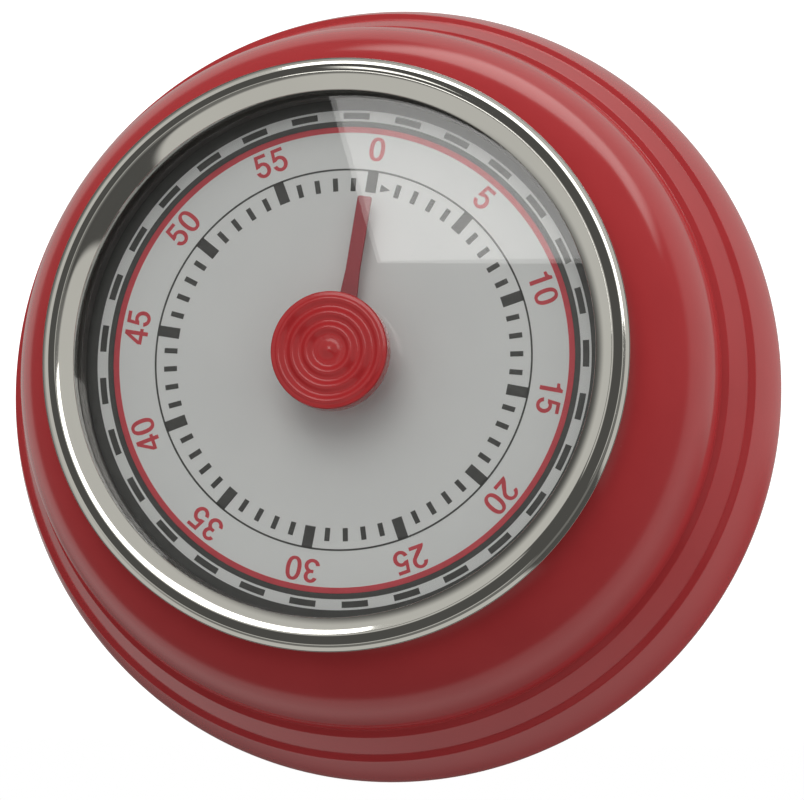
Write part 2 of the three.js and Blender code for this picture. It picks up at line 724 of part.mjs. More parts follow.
function makeDetentLever() {
  const fromDetent = (spot) => ({ x: spot.x - detentSpot.x, y: spot.y - detentSpot.y });
  const nose = fromDetent(polar(camRadius + fitGap + detent.nose / 2, camNotchAngle));
  const elbow = fromDetent(polar(camRadius + detent.elbow, camNotchAngle));
  const longArm = bar(mainSpot, elbow, detent.arm, camLevel, camLevel + camThickness);
  const noseArm = bar(elbow, nose, detent.nose, camLevel, camLevel + camThickness);
  return makeArbor().add(longArm).add(noseArm).add(tailToStar(detentSpot));
}

// ---- main arbor ----------------------------------------------------------------------------------

function makeMainArbor() {
  const collarLevel = mainWheelLevel - 0.6;
  const arbor = disc(mainArborRadius, backPlateBottom - 0.3, dialHeight + hubFront - 1.2, roundFacets.small);
  return arbor.add(disc(mainArborRadius + 1, collarLevel, mainWheelLevel - runningGap, roundFacets.small));
}

function makeRatchetWheel() {
  const level = mainWheelLevel + wheelThickness + runningGap;
  const pitch = 360 / ratchet.teeth;
  const outline = [];
  for (let tooth = 0; tooth < ratchet.teeth; tooth++) {
    const tip = polar(ratchet.tip, tooth * pitch);
    const root = polar(ratchet.root, (tooth + 1 / 7.5) * pitch);
    outline.push([tip.x, tip.y], [root.x, root.y]);
  }
  const wheel = slab(outline, level, level + ratchet.thickness);
  return pierce(wheel, mainArborRadius + runningGap, level, level + ratchet.thickness);
}

function makeClick() {
  const level = mainWheelLevel + wheelThickness + runningGap;
  const pivot = polar(click.pivotRadius, click.pivotAngle);
  const tip = polar(click.tipRadius, click.tipAngle);
  const lever = bar(pivot, tip, click.width, level, level + ratchet.thickness);
  return lever.add(at(disc(click.eye, level, level + ratchet.thickness, roundFacets.tiny), pivot));
}

// ---- assembly ------------------------------------------------------------------------------------

function addCase() {
  place(timer, "housing_shell", makeHousingShell(), "enamel");
  place(timer, "dial_plate", makeDial(), "dialPaint");
  place(timer, "back_cover", makeBackCover(), "steel");
  place(timer, "magnet_cup", makeMagnetCup(), "steel");
  place(timer, "magnet", disc(magnetRadius, 0, magnetHeight, roundFacets.medium), "ferrite");
  const footTop = coverRecess - runningGap;
  const foot = tube(footRingOuter - footRingWidth, footRingOuter, 0, footTop, roundFacets.large);
  place(timer, "foot_ring", foot, "rubber");
  coverScrewAngles.forEach((angle, index) => {
    const screw = makeScrew(coverRecess - screwSeat, coverTop + runningGap + wall);
    place(timer, "cover_screw_" + (index + 1), screw, "steel", polar(coverScrewRadius, angle));
  });
}

function addDialHand() {
  place(timer, "bezel_ring", makeBezel(), "chrome");
  const lens = tube(hubShank + fitGap, lensRadius, lensUnderside, dialHeight + lensTop, roundFacets.large);
  place(timer, "lens", lens, "glass");
  place(timer, "lens_retainer", makeRetainer(), "blackPlastic");
  place(timer, "hub_cap", makeHubCap(), "redPlastic");
  place(timer, "pointer_hand", makePointer(), "redPlastic");
  place(timer, "main_arbor", makeMainArbor(), "steel");
}

function addBell(parent) {
  const postTop = backPlateBottom - runningGap;
  const bore = screwRadius + runningGap;
  const post = tube(bore, bellPostRadius, bellTop + runningGap, postTop, roundFacets.small);
  place(parent, "bell", makeBell(), "steel", bellCentre);
  place(parent, "bell_post", post, "brass", bellCentre);
  place(parent, "bell_screw", makeScrew(bellTop - bellWall - runningGap, backPlateTop), "steel", bellCentre);
}

function addFrame(parent) {
  place(parent, "front_plate", makePlate(frontPlateBottom, frontPlateHoles()), "brass");
  place(parent, "back_plate", makePlate(backPlateBottom, [...pillarSpots, bellCentre]), "brass");
  pillarSpots.forEach((spot, index) => {
    place(parent, "pillar_" + (index + 1), makePillar(), "steel", spot);
    const screw = makeScrew(backPlateBottom - screwSeat, backPlateTop + runningGap + pillarScrewReach);
    place(parent, "pillar_screw_" + (index + 1), screw, "steel", spot);
  });
  movementScrewSpots.forEach((spot, index) => {
    const screw = makeScrew(frontPlateBottom - screwSeat, seatTop - runningGap);
    place(parent, "movement_screw_" + (index + 1), screw, "steel", spot);
  });
  const post = disc(0.8, springLevel, frontPlateBottom - runningGap, roundFacets.tiny);
  place(parent, "spring_post", post, "steel", springPostSpot());
}

function frontPlateHoles() {
  const feet = [-dialFeet.x, dialFeet.x].map((x) => ({ x, y: 0 }));
  return [...pillarSpots, ...movementScrewSpots, ...feet];
}

function springPostSpot() {
  return polar(mainspring.outer + mainspring.strip + 0.8 + runningGap, 0);
}

function addMainTrain(parent) {
  const bore = mainArborRadius + runningGap;
  const mainPhase = angleTo(mainSpot, secondSpot);
  const secondPhase = angleTo(secondSpot, thirdSpot);
  const thirdPhase = angleTo(thirdSpot, escapeSpot);
  place(parent, "main_wheel", makeWheel(mainTeeth, mainPhase, bore, mainWheelLevel), "brass");
  place(parent, "ratchet_wheel", makeRatchetWheel(), "steel");
  place(parent, "click", makeClick(), "steel");
  place(parent, "mainspring", makeSpiral(mainspring, springLevel, 0), "blueSteel");

  const arborBore = staffRadius + runningGap;
  const secondPinion = {
    teeth: mainTeeth,
    phase: pinionPhase(mainSpot, secondSpot, mainTeeth),
    bottom: mainWheelLevel - 0.4,
    top: mainWheelLevel + wheelThickness + 0.4,
  };
  place(parent, "second_pinion", makeArbor(secondPinion), "steel", secondSpot);
  const secondWheel = makeWheel(secondTeeth, secondPhase, arborBore, secondWheelLevel);
  place(parent, "second_wheel", secondWheel, "brass", secondSpot);

  const thirdPinion = {
    teeth: secondTeeth,
    phase: pinionPhase(secondSpot, thirdSpot, secondTeeth),
    bottom: secondWheelLevel - 0.3,
    top: secondWheelLevel + wheelThickness + 0.3,
  };
  place(parent, "third_pinion", makeArbor(thirdPinion), "steel", thirdSpot);
  const thirdWheel = makeWheel(thirdTeeth, thirdPhase, arborBore, thirdWheelLevel);
  place(parent, "third_wheel", thirdWheel, "brass", thirdSpot);

  const escapePinion = {
    teeth: thirdTeeth,
    phase: pinionPhase(thirdSpot, escapeSpot, thirdTeeth),
    bottom: thirdWheelLevel - 0.3,
    top: thirdWheelLevel + wheelThickness + 0.2,
  };
  place(parent, "escape_pinion", makeArbor(escapePinion), "steel", escapeSpot);
  place(parent, "escape_wheel", makeEscapeWheel(), "brass", escapeSpot);
}

function addEscapement(parent) {
  const lever = makePalletLever().rotate([0, 0, THREE.MathUtils.radToDeg(angleTo(palletSpot, balanceSpot))]);
  place(parent, "pallet_lever", lever, "steel", palletSpot);
  const staff = makeBalanceStaff().rotate([0, 0, THREE.MathUtils.radToDeg(angleTo(palletSpot, balanceSpot))]);
  place(parent, "balance_staff", staff, "steel", balanceSpot);
  place(parent, "balance_wheel", makeBalanceWheel(), "brass", balanceSpot);
  const hairLevel = escapeWheelLevel + hairspring.level;
  place(parent, "hairspring", makeSpiral(hairspring, hairLevel, 0), "blueSteel", balanceSpot);
}

function addStrike(parent) {
  place(parent, "strike_arbor", makeArbor(), "steel", strikeSpot);
  place(parent, "star_wheel", makeStarWheel(), "brass", strikeSpot);
  const spring = makeSpiral(strikeSpring, backPlateTop + strikeSpring.level, 0);
  place(parent, "strike_spring", spring, "blueSteel", strikeSpot);
  place(parent, "hammer_arbor", makeHammerArbor(), "steel", hammerSpot);
  place(parent, "hammer_head", makeHammerHead(), "brass", headSpot);
  place(parent, "hammer_spring", makeHammerSpring(), "blueSteel");
  place(parent, "release_cam", makeReleaseCam(), "brass");
  place(parent, "detent_lever", makeDetentLever(), "steel", detentSpot);
}

const movement = new THREE.Group();
timer.add(movement);
addCase();
addDialHand();
addBell(movement);
addFrame(movement);
addMainTrain(movement);
addEscapement(movement);
addStrike(movement);

export default timer;
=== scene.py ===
import json
import math

import bmesh
import bpy
from mathutils import Matrix, Vector


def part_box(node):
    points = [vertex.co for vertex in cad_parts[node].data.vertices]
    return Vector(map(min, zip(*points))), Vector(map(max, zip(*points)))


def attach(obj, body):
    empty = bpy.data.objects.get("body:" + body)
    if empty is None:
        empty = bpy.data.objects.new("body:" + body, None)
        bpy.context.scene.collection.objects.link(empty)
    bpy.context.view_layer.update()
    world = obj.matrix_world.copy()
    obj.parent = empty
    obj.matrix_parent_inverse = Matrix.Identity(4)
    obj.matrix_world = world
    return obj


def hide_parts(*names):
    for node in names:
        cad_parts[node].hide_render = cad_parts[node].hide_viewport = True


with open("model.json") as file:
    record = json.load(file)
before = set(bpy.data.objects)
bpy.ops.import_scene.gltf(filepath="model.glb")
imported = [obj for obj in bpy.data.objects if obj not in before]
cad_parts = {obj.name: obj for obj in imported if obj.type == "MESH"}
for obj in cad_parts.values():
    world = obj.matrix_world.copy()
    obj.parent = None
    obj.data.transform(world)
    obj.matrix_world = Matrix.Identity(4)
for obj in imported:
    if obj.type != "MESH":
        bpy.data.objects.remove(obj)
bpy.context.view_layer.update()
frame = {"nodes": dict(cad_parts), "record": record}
nodes = frame["nodes"]
mm = 0.001

# Levels that several pieces share, in mm above the surface the timer lies on
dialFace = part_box("dial_plate")[1].z / mm
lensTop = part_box("lens")[1].z / mm
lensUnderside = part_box("lens")[0].z / mm


# Shader helpers

def newGroup(name, inputs, outputs):
    group = bpy.data.node_groups.new(name, "ShaderNodeTree")
    for label, value in inputs:
        kind = "NodeSocketColor" if isinstance(value, tuple) else "NodeSocketFloat"
        socket = group.interface.new_socket(label, in_out="INPUT", socket_type=kind)
        socket.default_value = value
    for label, kind in outputs:
        group.interface.new_socket(label, in_out="OUTPUT", socket_type=kind)
    enter = group.nodes.new("NodeGroupInput")
    leave = group.nodes.new("NodeGroupOutput")
    return group, enter, leave


def addNode(tree, kind, settings=None, **inputs):
    node = tree.nodes.new(kind)
    for key, value in (settings or {}).items():
        setattr(node, key, value)
    for key, value in inputs.items():
        socket = node.inputs[int(key[1:])] if key[0] == "i" and key[1:].isdigit() else node.inputs[key]
        if isinstance(value, bpy.types.NodeSocket):
            tree.links.new(value, socket)
        else:
            socket.default_value = value
    return node


def mathNode(tree, operation, a, b=0.0, clamp=False):
    settings = {"operation": operation, "use_clamp": clamp}
    return addNode(tree, "ShaderNodeMath", settings, i0=a, i1=b).outputs[0]


def mixColour(tree, factor, a, b, blend="MIX"):
    node = tree.nodes.new("ShaderNodeMix")
    node.data_type = "RGBA"
    node.blend_type = blend
    for index, value in ((0, factor), (6, a), (7, b)):
        if isinstance(value, bpy.types.NodeSocket):
            tree.links.new(value, node.inputs[index])
        else:
            node.inputs[index].default_value = value
    return node.outputs[2]


def ramp(tree, value, low, high):
    node = addNode(tree, "ShaderNodeMapRange", {"interpolation_type": "SMOOTHSTEP"}, Value=value)
    node.inputs["From Min"].default_value = low
    node.inputs["From Max"].default_value = high
    return node.outputs["Result"]


# Effects that several finishes share

def makeSoftMottle():
    # Slow, cloudy change of tone, as in sprayed paint or moulded plastic
    group, enter, leave = newGroup(
        "softMottle",
        [("Colour", (0.5, 0.5, 0.5, 1)), ("Darker", (0.4, 0.4, 0.4, 1)), ("Size", 300.0), ("Amount", 0.5)],
        [("Colour", "NodeSocketColor"), ("Mask", "NodeSocketFloat")],
    )
    place = addNode(group, "ShaderNodeTexCoord").outputs["Object"]
    cloud = addNode(group, "ShaderNodeTexNoise", Vector=place, Scale=enter.outputs["Size"], Detail=4.0)
    mask = ramp(group, cloud.outputs["Fac"], 0.35, 0.7)
    share = mathNode(group, "MULTIPLY", mask, enter.outputs["Amount"])
    colour = mixColour(group, share, enter.outputs["Colour"], enter.outputs["Darker"])
    group.links.new(colour, leave.inputs["Colour"])
    group.links.new(mask, leave.inputs["Mask"])
    return group


def makeFineWear():
    # Roughness that wanders a little: smears from handling and hair scratches
    group, enter, leave = newGroup(
        "fineWear",
        [("Roughness", 0.2), ("Smears", 0.05), ("Scratches", 0.1), ("Size", 250.0)],
        [("Roughness", "NodeSocketFloat"), ("Height", "NodeSocketFloat")],
    )
    place = addNode(group, "ShaderNodeTexCoord").outputs["Object"]
    smear = addNode(group, "ShaderNodeTexNoise", Vector=place, Scale=enter.outputs["Size"], Detail=5.0)
    warped = addNode(group, "ShaderNodeTexNoise", Vector=place, Scale=90.0, Detail=2.0)
    bent = mixColour(group, 0.06, place, warped.outputs["Color"])
    cell = addNode(group, "ShaderNodeTexVoronoi", {"feature": "DISTANCE_TO_EDGE"}, Vector=bent, Scale=420.0)
    hair = mathNode(group, "SUBTRACT", 1.0, ramp(group, cell.outputs["Distance"], 0.0, 0.012))
    broken = addNode(group, "ShaderNodeTexNoise", Vector=place, Scale=650.0, Detail=1.0)
    hair = mathNode(group, "MULTIPLY", hair, ramp(group, broken.outputs["Fac"], 0.55, 0.68))
    smeared = mathNode(group, "MULTIPLY", smear.outputs["Fac"], enter.outputs["Smears"])
    scratched = mathNode(group, "MULTIPLY", hair, enter.outputs["Scratches"])
    total = mathNode(group, "ADD", mathNode(group, "ADD", enter.outputs["Roughness"], smeared), scratched)
    group.links.new(total, leave.inputs["Roughness"])
    group.links.new(hair, leave.inputs["Height"])
    return group


def makeOrangePeel():
    # The low waves and the fine grain of a sprayed or moulded skin, as a height
    group, enter, leave = newGroup(
        "orangePeel",
        [("Waves", 900.0), ("Grain", 6000.0), ("GrainShare", 0.25)],
        [("Height", "NodeSocketFloat")],
    )
    place = addNode(group, "ShaderNodeTexCoord").outputs["Object"]
    waves = addNode(group, "ShaderNodeTexNoise", Vector=place, Scale=enter.outputs["Waves"], Detail=1.0)
    grain = addNode(group, "ShaderNodeTexNoise", Vector=place, Scale=enter.outputs["Grain"], Detail=2.0)
    fine = mathNode(group, "MULTIPLY", grain.outputs["Fac"], enter.outputs["GrainShare"])
    group.links.new(mathNode(group, "ADD", waves.outputs["Fac"], fine), leave.inputs["Height"])
    return group


def makeDustSpecks():
    # Sparse pale specks
    sizes = [("Size", 700.0), ("Spread", 0.06)]
    group, enter, leave = newGroup("dustSpecks", sizes, [("Mask", "NodeSocketFloat")])
    place = addNode(group, "ShaderNodeTexCoord").outputs["Object"]
    cell = addNode(group, "ShaderNodeTexVoronoi", Vector=place, Scale=enter.outputs["Size"])
    dot = mathNode(group, "LESS_THAN", cell.outputs["Distance"], enter.outputs["Spread"])
    chosen = addNode(group, "ShaderNodeSeparateColor", Color=cell.outputs["Color"]).outputs[0]
    group.links.new(mathNode(group, "MULTIPLY", dot, ramp(group, chosen, 0.86, 0.9)), leave.inputs["Mask"])
    return group


def makeBrushedLines():
    # Concentric turning or brushing marks about the timer's axis
    group, enter, leave = newGroup(
        "brushedLines", [("Lines", 9000.0), ("Patches", 300.0)], [("Mask", "NodeSocketFloat")]
    )
    place = addNode(group, "ShaderNodeTexCoord").outputs["Object"]
    parts = addNode(group, "ShaderNodeSeparateXYZ", Vector=place)
    x, y, z = parts.outputs
    squares = mathNode(group, "ADD", mathNode(group, "MULTIPLY", x, x), mathNode(group, "MULTIPLY", y, y))
    radius = mathNode(group, "SQRT", squares)
    rings = addNode(group, "ShaderNodeCombineXYZ", X=radius, Z=mathNode(group, "MULTIPLY", z, 0.5))
    lines = enter.outputs["Lines"]
    fine = addNode(group, "ShaderNodeTexNoise", Vector=rings.outputs[0], Scale=lines, Detail=2.0)
    patch = addNode(group, "ShaderNodeTexNoise", Vector=place, Scale=enter.outputs["Patches"], Detail=2.0)
    mixed = mathNode(group, "MULTIPLY", fine.outputs["Fac"], ramp(group, patch.outputs["Fac"], 0.2, 0.7))
    group.links.new(mixed, leave.inputs["Mask"])
    return group


softMottle = makeSoftMottle()
fineWear = makeFineWear()
orangePeel = makeOrangePeel()
dustSpecks = makeDustSpecks()
brushedLines = makeBrushedLines()
print("shared effects ready")


# Finishes: each takes its own values from one dictionary

def startFinish(name):
    material = bpy.data.materials.new(name)
    material.use_nodes = True
    tree = material.node_tree
    tree.nodes.clear()
    out = tree.nodes.new("ShaderNodeOutputMaterial")
    shader = tree.nodes.new("ShaderNodeBsdfPrincipled")
    tree.links.new(shader.outputs[0], out.inputs["Surface"])
    return material, tree, shader, out


def useGroup(tree, group, **inputs):
    node = tree.nodes.new("ShaderNodeGroup")
    node.node_tree = group
    for key, value in inputs.items():
        if isinstance(value, bpy.types.NodeSocket):
            tree.links.new(value, node.inputs[key])
        else:
            node.inputs[key].default_value = value
    return node


def bumpFrom(tree, shader, height, strength, distance):
    bump = addNode(tree, "ShaderNodeBump", Height=height, Strength=strength, Distance=distance * mm)
    tree.links.new(bump.outputs[0], shader.inputs["Normal"])


def layeredFinish(name, look):
    # Mottled colour, specks, wandering roughness and a skin of low waves
    material, tree, shader, out = startFinish(name)
    tone = useGroup(
        tree, softMottle, Colour=look["colour"], Darker=look["darker"],
        Size=look["mottleSize"], Amount=look["mottle"],
    )
    colour = tone.outputs["Colour"]
    if look.get("specks"):
        specks = useGroup(tree, dustSpecks, Size=look["speckSize"], Spread=0.05)
        share = mathNode(tree, "MULTIPLY", specks.outputs["Mask"], look["specks"])
        colour = mixColour(tree, share, colour, look["speckColour"])
    tree.links.new(colour, shader.inputs["Base Color"])
    wear = useGroup(
        tree,
        fineWear,
        Roughness=look["roughness"],
        Smears=look["smears"],
        Scratches=look["scratches"],
        Size=look["smearSize"],
    )
    tree.links.new(wear.outputs["Roughness"], shader.inputs["Roughness"])
    skin = useGroup(tree, orangePeel, Waves=look["waves"], Grain=look["grain"], GrainShare=look["grainShare"])
    bumpFrom(tree, shader, skin.outputs["Height"], look["bump"], look["bumpDepth"])
    shader.inputs["Metallic"].default_value = look.get("metallic", 0.0)
    shader.inputs["IOR"].default_value = look.get("ior", 1.5)
    return material


def turnedMetal(name, look):
    # Metal with fine turning marks in its colour, roughness and surface
    material, tree, shader, out = startFinish(name)
    lines = useGroup(tree, brushedLines, Lines=look["lines"], Patches=look["patches"])
    colour = mixColour(tree, lines.outputs["Mask"], look["colour"], look["darker"])
    tree.links.new(colour, shader.inputs["Base Color"])
    wear = useGroup(
        tree, fineWear, Roughness=look["roughness"], Smears=look["smears"],
        Scratches=look["scratches"], Size=200.0,
    )
    spread = mathNode(tree, "MULTIPLY", lines.outputs["Mask"], look["lineRoughness"])
    total = mathNode(tree, "ADD", wear.outputs["Roughness"], spread)
    tree.links.new(total, shader.inputs["Roughness"])
    bumpFrom(tree, shader, lines.outputs["Mask"], look["bump"], 0.01)
    shader.inputs["Metallic"].default_value = 1.0
    return material


enamelLook = {
    "colour": (0.52, 0.044, 0.048, 1), "darker": (0.48, 0.038, 0.042, 1), "mottleSize": 160.0, "mottle": 0.6,
    "specks": 0.12, "speckSize": 900.0, "speckColour": (0.75, 0.35, 0.33, 1),
    "roughness": 0.09, "smears": 0.06, "scratches": 0.05, "smearSize": 120.0,
    "waves": 420.0, "grain": 3500.0, "grainShare": 0.12, "bump": 0.10, "bumpDepth": 0.05, "ior": 1.5,
}
redPlasticLook = {
    "colour": (0.54, 0.030, 0.034, 1), "darker": (0.48, 0.024, 0.028, 1), "mottleSize": 400.0, "mottle": 0.6,
    "specks": 0.1, "speckSize": 1400.0, "speckColour": (0.8, 0.4, 0.38, 1),
    "roughness": 0.13, "smears": 0.08, "scratches": 0.08, "smearSize": 500.0,
    "waves": 1500.0, "grain": 9000.0, "grainShare": 0.5, "bump": 0.18, "bumpDepth": 0.03, "ior": 1.5,
}
pointerLook = dict(
    redPlasticLook, colour=(0.33, 0.018, 0.032, 1), darker=(0.29, 0.015, 0.027, 1), roughness=0.35,
)
dialPaintLook = {
    "colour": (0.79, 0.795, 0.79, 1), "darker": (0.75, 0.756, 0.755, 1), "mottleSize": 110.0, "mottle": 0.6,
    "specks": 0.35, "speckSize": 2600.0, "speckColour": (0.72, 0.72, 0.72, 1),
    "roughness": 0.48, "smears": 0.08, "scratches": 0.04, "smearSize": 300.0,
    "waves": 2500.0, "grain": 14000.0, "grainShare": 0.8, "bump": 0.12, "bumpDepth": 0.02,
}
blackInkLook = {
    "colour": (0.030, 0.030, 0.028, 1), "darker": (0.022, 0.022, 0.020, 1),
    "mottleSize": 900.0, "mottle": 0.8,
    "roughness": 0.42, "smears": 0.10, "scratches": 0.05, "smearSize": 900.0,
    "waves": 4000.0, "grain": 16000.0, "grainShare": 0.6, "bump": 0.15, "bumpDepth": 0.01,
}
redInkLook = dict(blackInkLook, colour=(0.60, 0.035, 0.055, 1), darker=(0.53, 0.030, 0.048, 1))
blackPlasticLook = {
    "colour": (0.030, 0.027, 0.024, 1), "darker": (0.021, 0.019, 0.017, 1),
    "mottleSize": 300.0, "mottle": 0.8,
    "specks": 0.3, "speckSize": 1200.0, "speckColour": (0.2, 0.19, 0.18, 1),
    "roughness": 0.38, "smears": 0.12, "scratches": 0.10, "smearSize": 300.0,
    "waves": 1500.0, "grain": 9000.0, "grainShare": 0.7, "bump": 0.2, "bumpDepth": 0.03,
}
rubberLook = dict(
    blackPlasticLook, colour=(0.018, 0.018, 0.018, 1), darker=(0.030, 0.030, 0.029, 1), roughness=0.68,
    specks=0.7, speckSize=800.0, speckColour=(0.12, 0.12, 0.11, 1), bump=0.45, bumpDepth=0.04,
)
ferriteLook = dict(
    blackPlasticLook, colour=(0.045, 0.043, 0.041, 1), darker=(0.085, 0.082, 0.078, 1), roughness=0.55,
    mottleSize=700.0, specks=0.6, speckSize=1500.0, speckColour=(0.16, 0.15, 0.14, 1),
    bump=0.5, bumpDepth=0.06,
)
steelLook = {
    "colour": (0.60, 0.60, 0.61, 1), "darker": (0.46, 0.46, 0.47, 1), "lines": 7000.0, "patches": 260.0,
    "roughness": 0.20, "smears": 0.12, "scratches": 0.25, "lineRoughness": 0.22, "bump": 0.15,
}
springLook = dict(steelLook, colour=(0.10, 0.14, 0.24, 1), darker=(0.16, 0.14, 0.22, 1), roughness=0.22)
brassLook = dict(steelLook, colour=(0.66, 0.46, 0.16, 1), darker=(0.52, 0.34, 0.11, 1), roughness=0.2)
chromeLook = {
    "colour": (0.83, 0.82, 0.77, 1), "darker": (0.77, 0.76, 0.71, 1), "mottleSize": 60.0, "mottle": 0.5,
    "roughness": 0.035, "smears": 0.035, "scratches": 0.10, "smearSize": 90.0,
    "waves": 260.0, "grain": 2500.0, "grainShare": 0.05, "bump": 0.05, "bumpDepth": 0.04, "metallic": 1.0,
}
lensLook = {"tint": (0.985, 0.99, 0.985, 1), "ior": 1.49, "roughness": 0.0, "specks": 0.5}


def makeLensMaterial():
    material, tree, shader, out = startFinish("clearLens")
    shader.inputs["Transmission Weight"].default_value = 1.0
    shader.inputs["IOR"].default_value = lensLook["ior"]
    specks = useGroup(tree, dustSpecks, Size=260.0, Spread=0.03)
    dusty = mixColour(tree, specks.outputs["Mask"], lensLook["tint"], (0.8, 0.8, 0.78, 1))
    tree.links.new(dusty, shader.inputs["Base Color"])
    spread = mathNode(tree, "MULTIPLY", specks.outputs["Mask"], lensLook["specks"])
    tree.links.new(mathNode(tree, "ADD", spread, lensLook["roughness"]), shader.inputs["Roughness"])
    # Lamps and soft light pass straight through the pane
    path = tree.nodes.new("ShaderNodeLightPath")
    clear = tree.nodes.new("ShaderNodeBsdfTransparent")
    clear.inputs[0].default_value = (0.93, 0.935, 0.93, 1)
    soft = tree.nodes.new("ShaderNodeMixShader")
    tree.links.new(path.outputs["Is Diffuse Ray"], soft.inputs[0])
    tree.links.new(shader.outputs[0], soft.inputs[1])
    tree.links.new(clear.outputs[0], soft.inputs[2])
    lit = tree.nodes.new("ShaderNodeMixShader")
    tree.links.new(path.outputs["Is Shadow Ray"], lit.inputs[0])
    tree.links.new(soft.outputs[0], lit.inputs[1])
    tree.links.new(clear.outputs[0], lit.inputs[2])
    tree.links.new(lit.outputs[0], out.inputs["Surface"])
    return material


finishes = {
    "enamel": layeredFinish("redEnamel", enamelLook),
    "chrome": layeredFinish("brightChrome", chromeLook),
    "lens": makeLensMaterial(),
    "red_plastic": layeredFinish("redPlastic", redPlasticLook),
    "pointer": layeredFinish("pointerPlastic", pointerLook),
    "dial": layeredFinish("dialPaint", dialPaintLook),
    "blackInk": layeredFinish("blackInk", blackInkLook),
    "redInk": layeredFinish("redInk", redInkLook),
    "rubber": layeredFinish("footRubber", rubberLook),
    "black_plastic": layeredFinish("blackPlastic", blackPlasticLook),
    "steel": turnedMetal("brightSteel", steelLook),
    "spring_steel": turnedMetal("bluedSpring", springLook),
    "brass": turnedMetal("stampedBrass", brassLook),
    "ferrite": layeredFinish("ferriteMagnet", ferriteLook),
}
print("finishes ready")


# Mesh helpers

def finishPiece(name, mesh, finish, body, replaces=(), smoothAngle=None):
    mesh.materials.clear()
    mesh.materials.append(finishes[finish])
    piece = bpy.data.objects.new(name, mesh)
    bpy.context.scene.collection.objects.link(piece)
    if smoothAngle is not None:
        mesh.shade_smooth()
        mesh.set_sharp_from_angle(angle=math.radians(smoothAngle))
        flatten = piece.modifiers.new("flatten", "WEIGHTED_NORMAL")
        flatten.keep_sharp = True
    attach(piece, body)
    for node in replaces:
        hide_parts(node)
    return piece


def arc(centre, radii, start, end, steps):
    # Points on an ellipse from one angle to another, in degrees
    points = []
    for step in range(steps + 1):
        turn = math.radians(start + (end - start) * step / steps)
        points.append((centre[0] + radii[0] * math.cos(turn), centre[1] + radii[1] * math.sin(turn)))
    return points


def rounded(outline, steps=5):
    # Closed outline of (x, y, radius): every corner with a radius is rolled over
    points = []
    count = len(outline)
    for index, (x, y, radius) in enumerate(outline):
        corner = Vector((x, y))
        before = Vector(outline[index - 1][:2]) - corner
        after = Vector(outline[(index + 1) % count][:2]) - corner
        if radius <= 0 or before.length < 1e-6 or after.length < 1e-6:
            points.append((x, y))
            continue
        half = before.angle(after) / 2
        reach = min(radius / math.tan(max(half, 0.02)), before.length * 0.49, after.length * 0.49)
        a, b = corner + before.normalized() * reach, corner + after.normalized() * reach
        for step in range(steps + 1):
            t = step / steps
            spot = a * (1 - t) ** 2 + corner * (2 * t * (1 - t)) + b * t ** 2
            points.append((spot.x, spot.y))
    return points


def revolve(outline, segments=192, spot=(0, 0), closed=True):
    # Turns (radius, height) points in mm about an upright axis; points on the axis become one vertex
    shape = bmesh.new()
    rings = []
    for radius, height in outline:
        if radius < 1e-6:
            vertex = shape.verts.new((spot[0] * mm, spot[1] * mm, height * mm))
            rings.append([vertex] * segments)
            continue
        ring = []
        for step in range(segments):
            turn = 2 * math.pi * step / segments
            x, y = spot[0] + radius * math.cos(turn), spot[1] + radius * math.sin(turn)
            ring.append(shape.verts.new((x * mm, y * mm, height * mm)))
        rings.append(ring)
    last = len(rings) if closed else len(rings) - 1
    for index in range(last):
        low, high = rings[index], rings[(index + 1) % len(rings)]
        for step in range(segments):
            after = (step + 1) % segments
            corners = []
            for vertex in (low[step], low[after], high[after], high[step]):
                if vertex not in corners:
                    corners.append(vertex)
            if len(corners) > 2:
                shape.faces.new(corners)
    bmesh.ops.recalc_face_normals(shape, faces=shape.faces)
    mesh = bpy.data.meshes.new("turned")
    shape.to_mesh(mesh)
    shape.free()
    return mesh


def plate(loops, bottom, top, bevel=0.0):
    # Fills flat loops of (x, y) in mm, holes included, and gives them a thickness
    curve = bpy.data.curves.new("outline", "CURVE")
    curve.dimensions = "2D"
    curve.fill_mode = "BOTH"
    for loop in loops:
        spline = curve.splines.new("POLY")
        spline.points.add(len(loop) - 1)
        for point, (x, y) in zip(spline.points, loop):
            point.co = (x * mm, y * mm, 0, 1)
        spline.use_cyclic_u = True
    curve.extrude = (top - bottom) / 2 * mm
    if bevel:
        curve.bevel_depth = bevel * mm
        curve.bevel_resolution = 2
        curve.extrude -= bevel * mm
        curve.offset = -bevel * mm
    holder = bpy.data.objects.new("outline", curve)
    bpy.context.scene.collection.objects.link(holder)
    bpy.context.view_layer.update()
    mesh = bpy.data.meshes.new_from_object(holder.evaluated_get(bpy.context.evaluated_depsgraph_get()))
    bpy.data.objects.remove(holder)
    bpy.data.curves.remove(curve)
    mesh.transform(Matrix.Translation((0, 0, (top + bottom) / 2 * mm)))
    weld(mesh)
    return mesh


def weld(mesh, distance=0.0005):
    shape = bmesh.new()
    shape.from_mesh(mesh)
    bmesh.ops.remove_doubles(shape, verts=shape.verts, dist=distance * mm)
    bmesh.ops.dissolve_degenerate(shape, dist=distance * mm, edges=shape.edges)
    bmesh.ops.recalc_face_normals(shape, faces=shape.faces)
    shape.to_mesh(mesh)
    shape.free()


def joinMeshes(name, meshes):
    shape = bmesh.new()
    for mesh in meshes:
        shape.from_mesh(mesh)
        bpy.data.meshes.remove(mesh)
    joined = bpy.data.meshes.new(name)
    shape.to_mesh(joined)
    shape.free()
    return joined


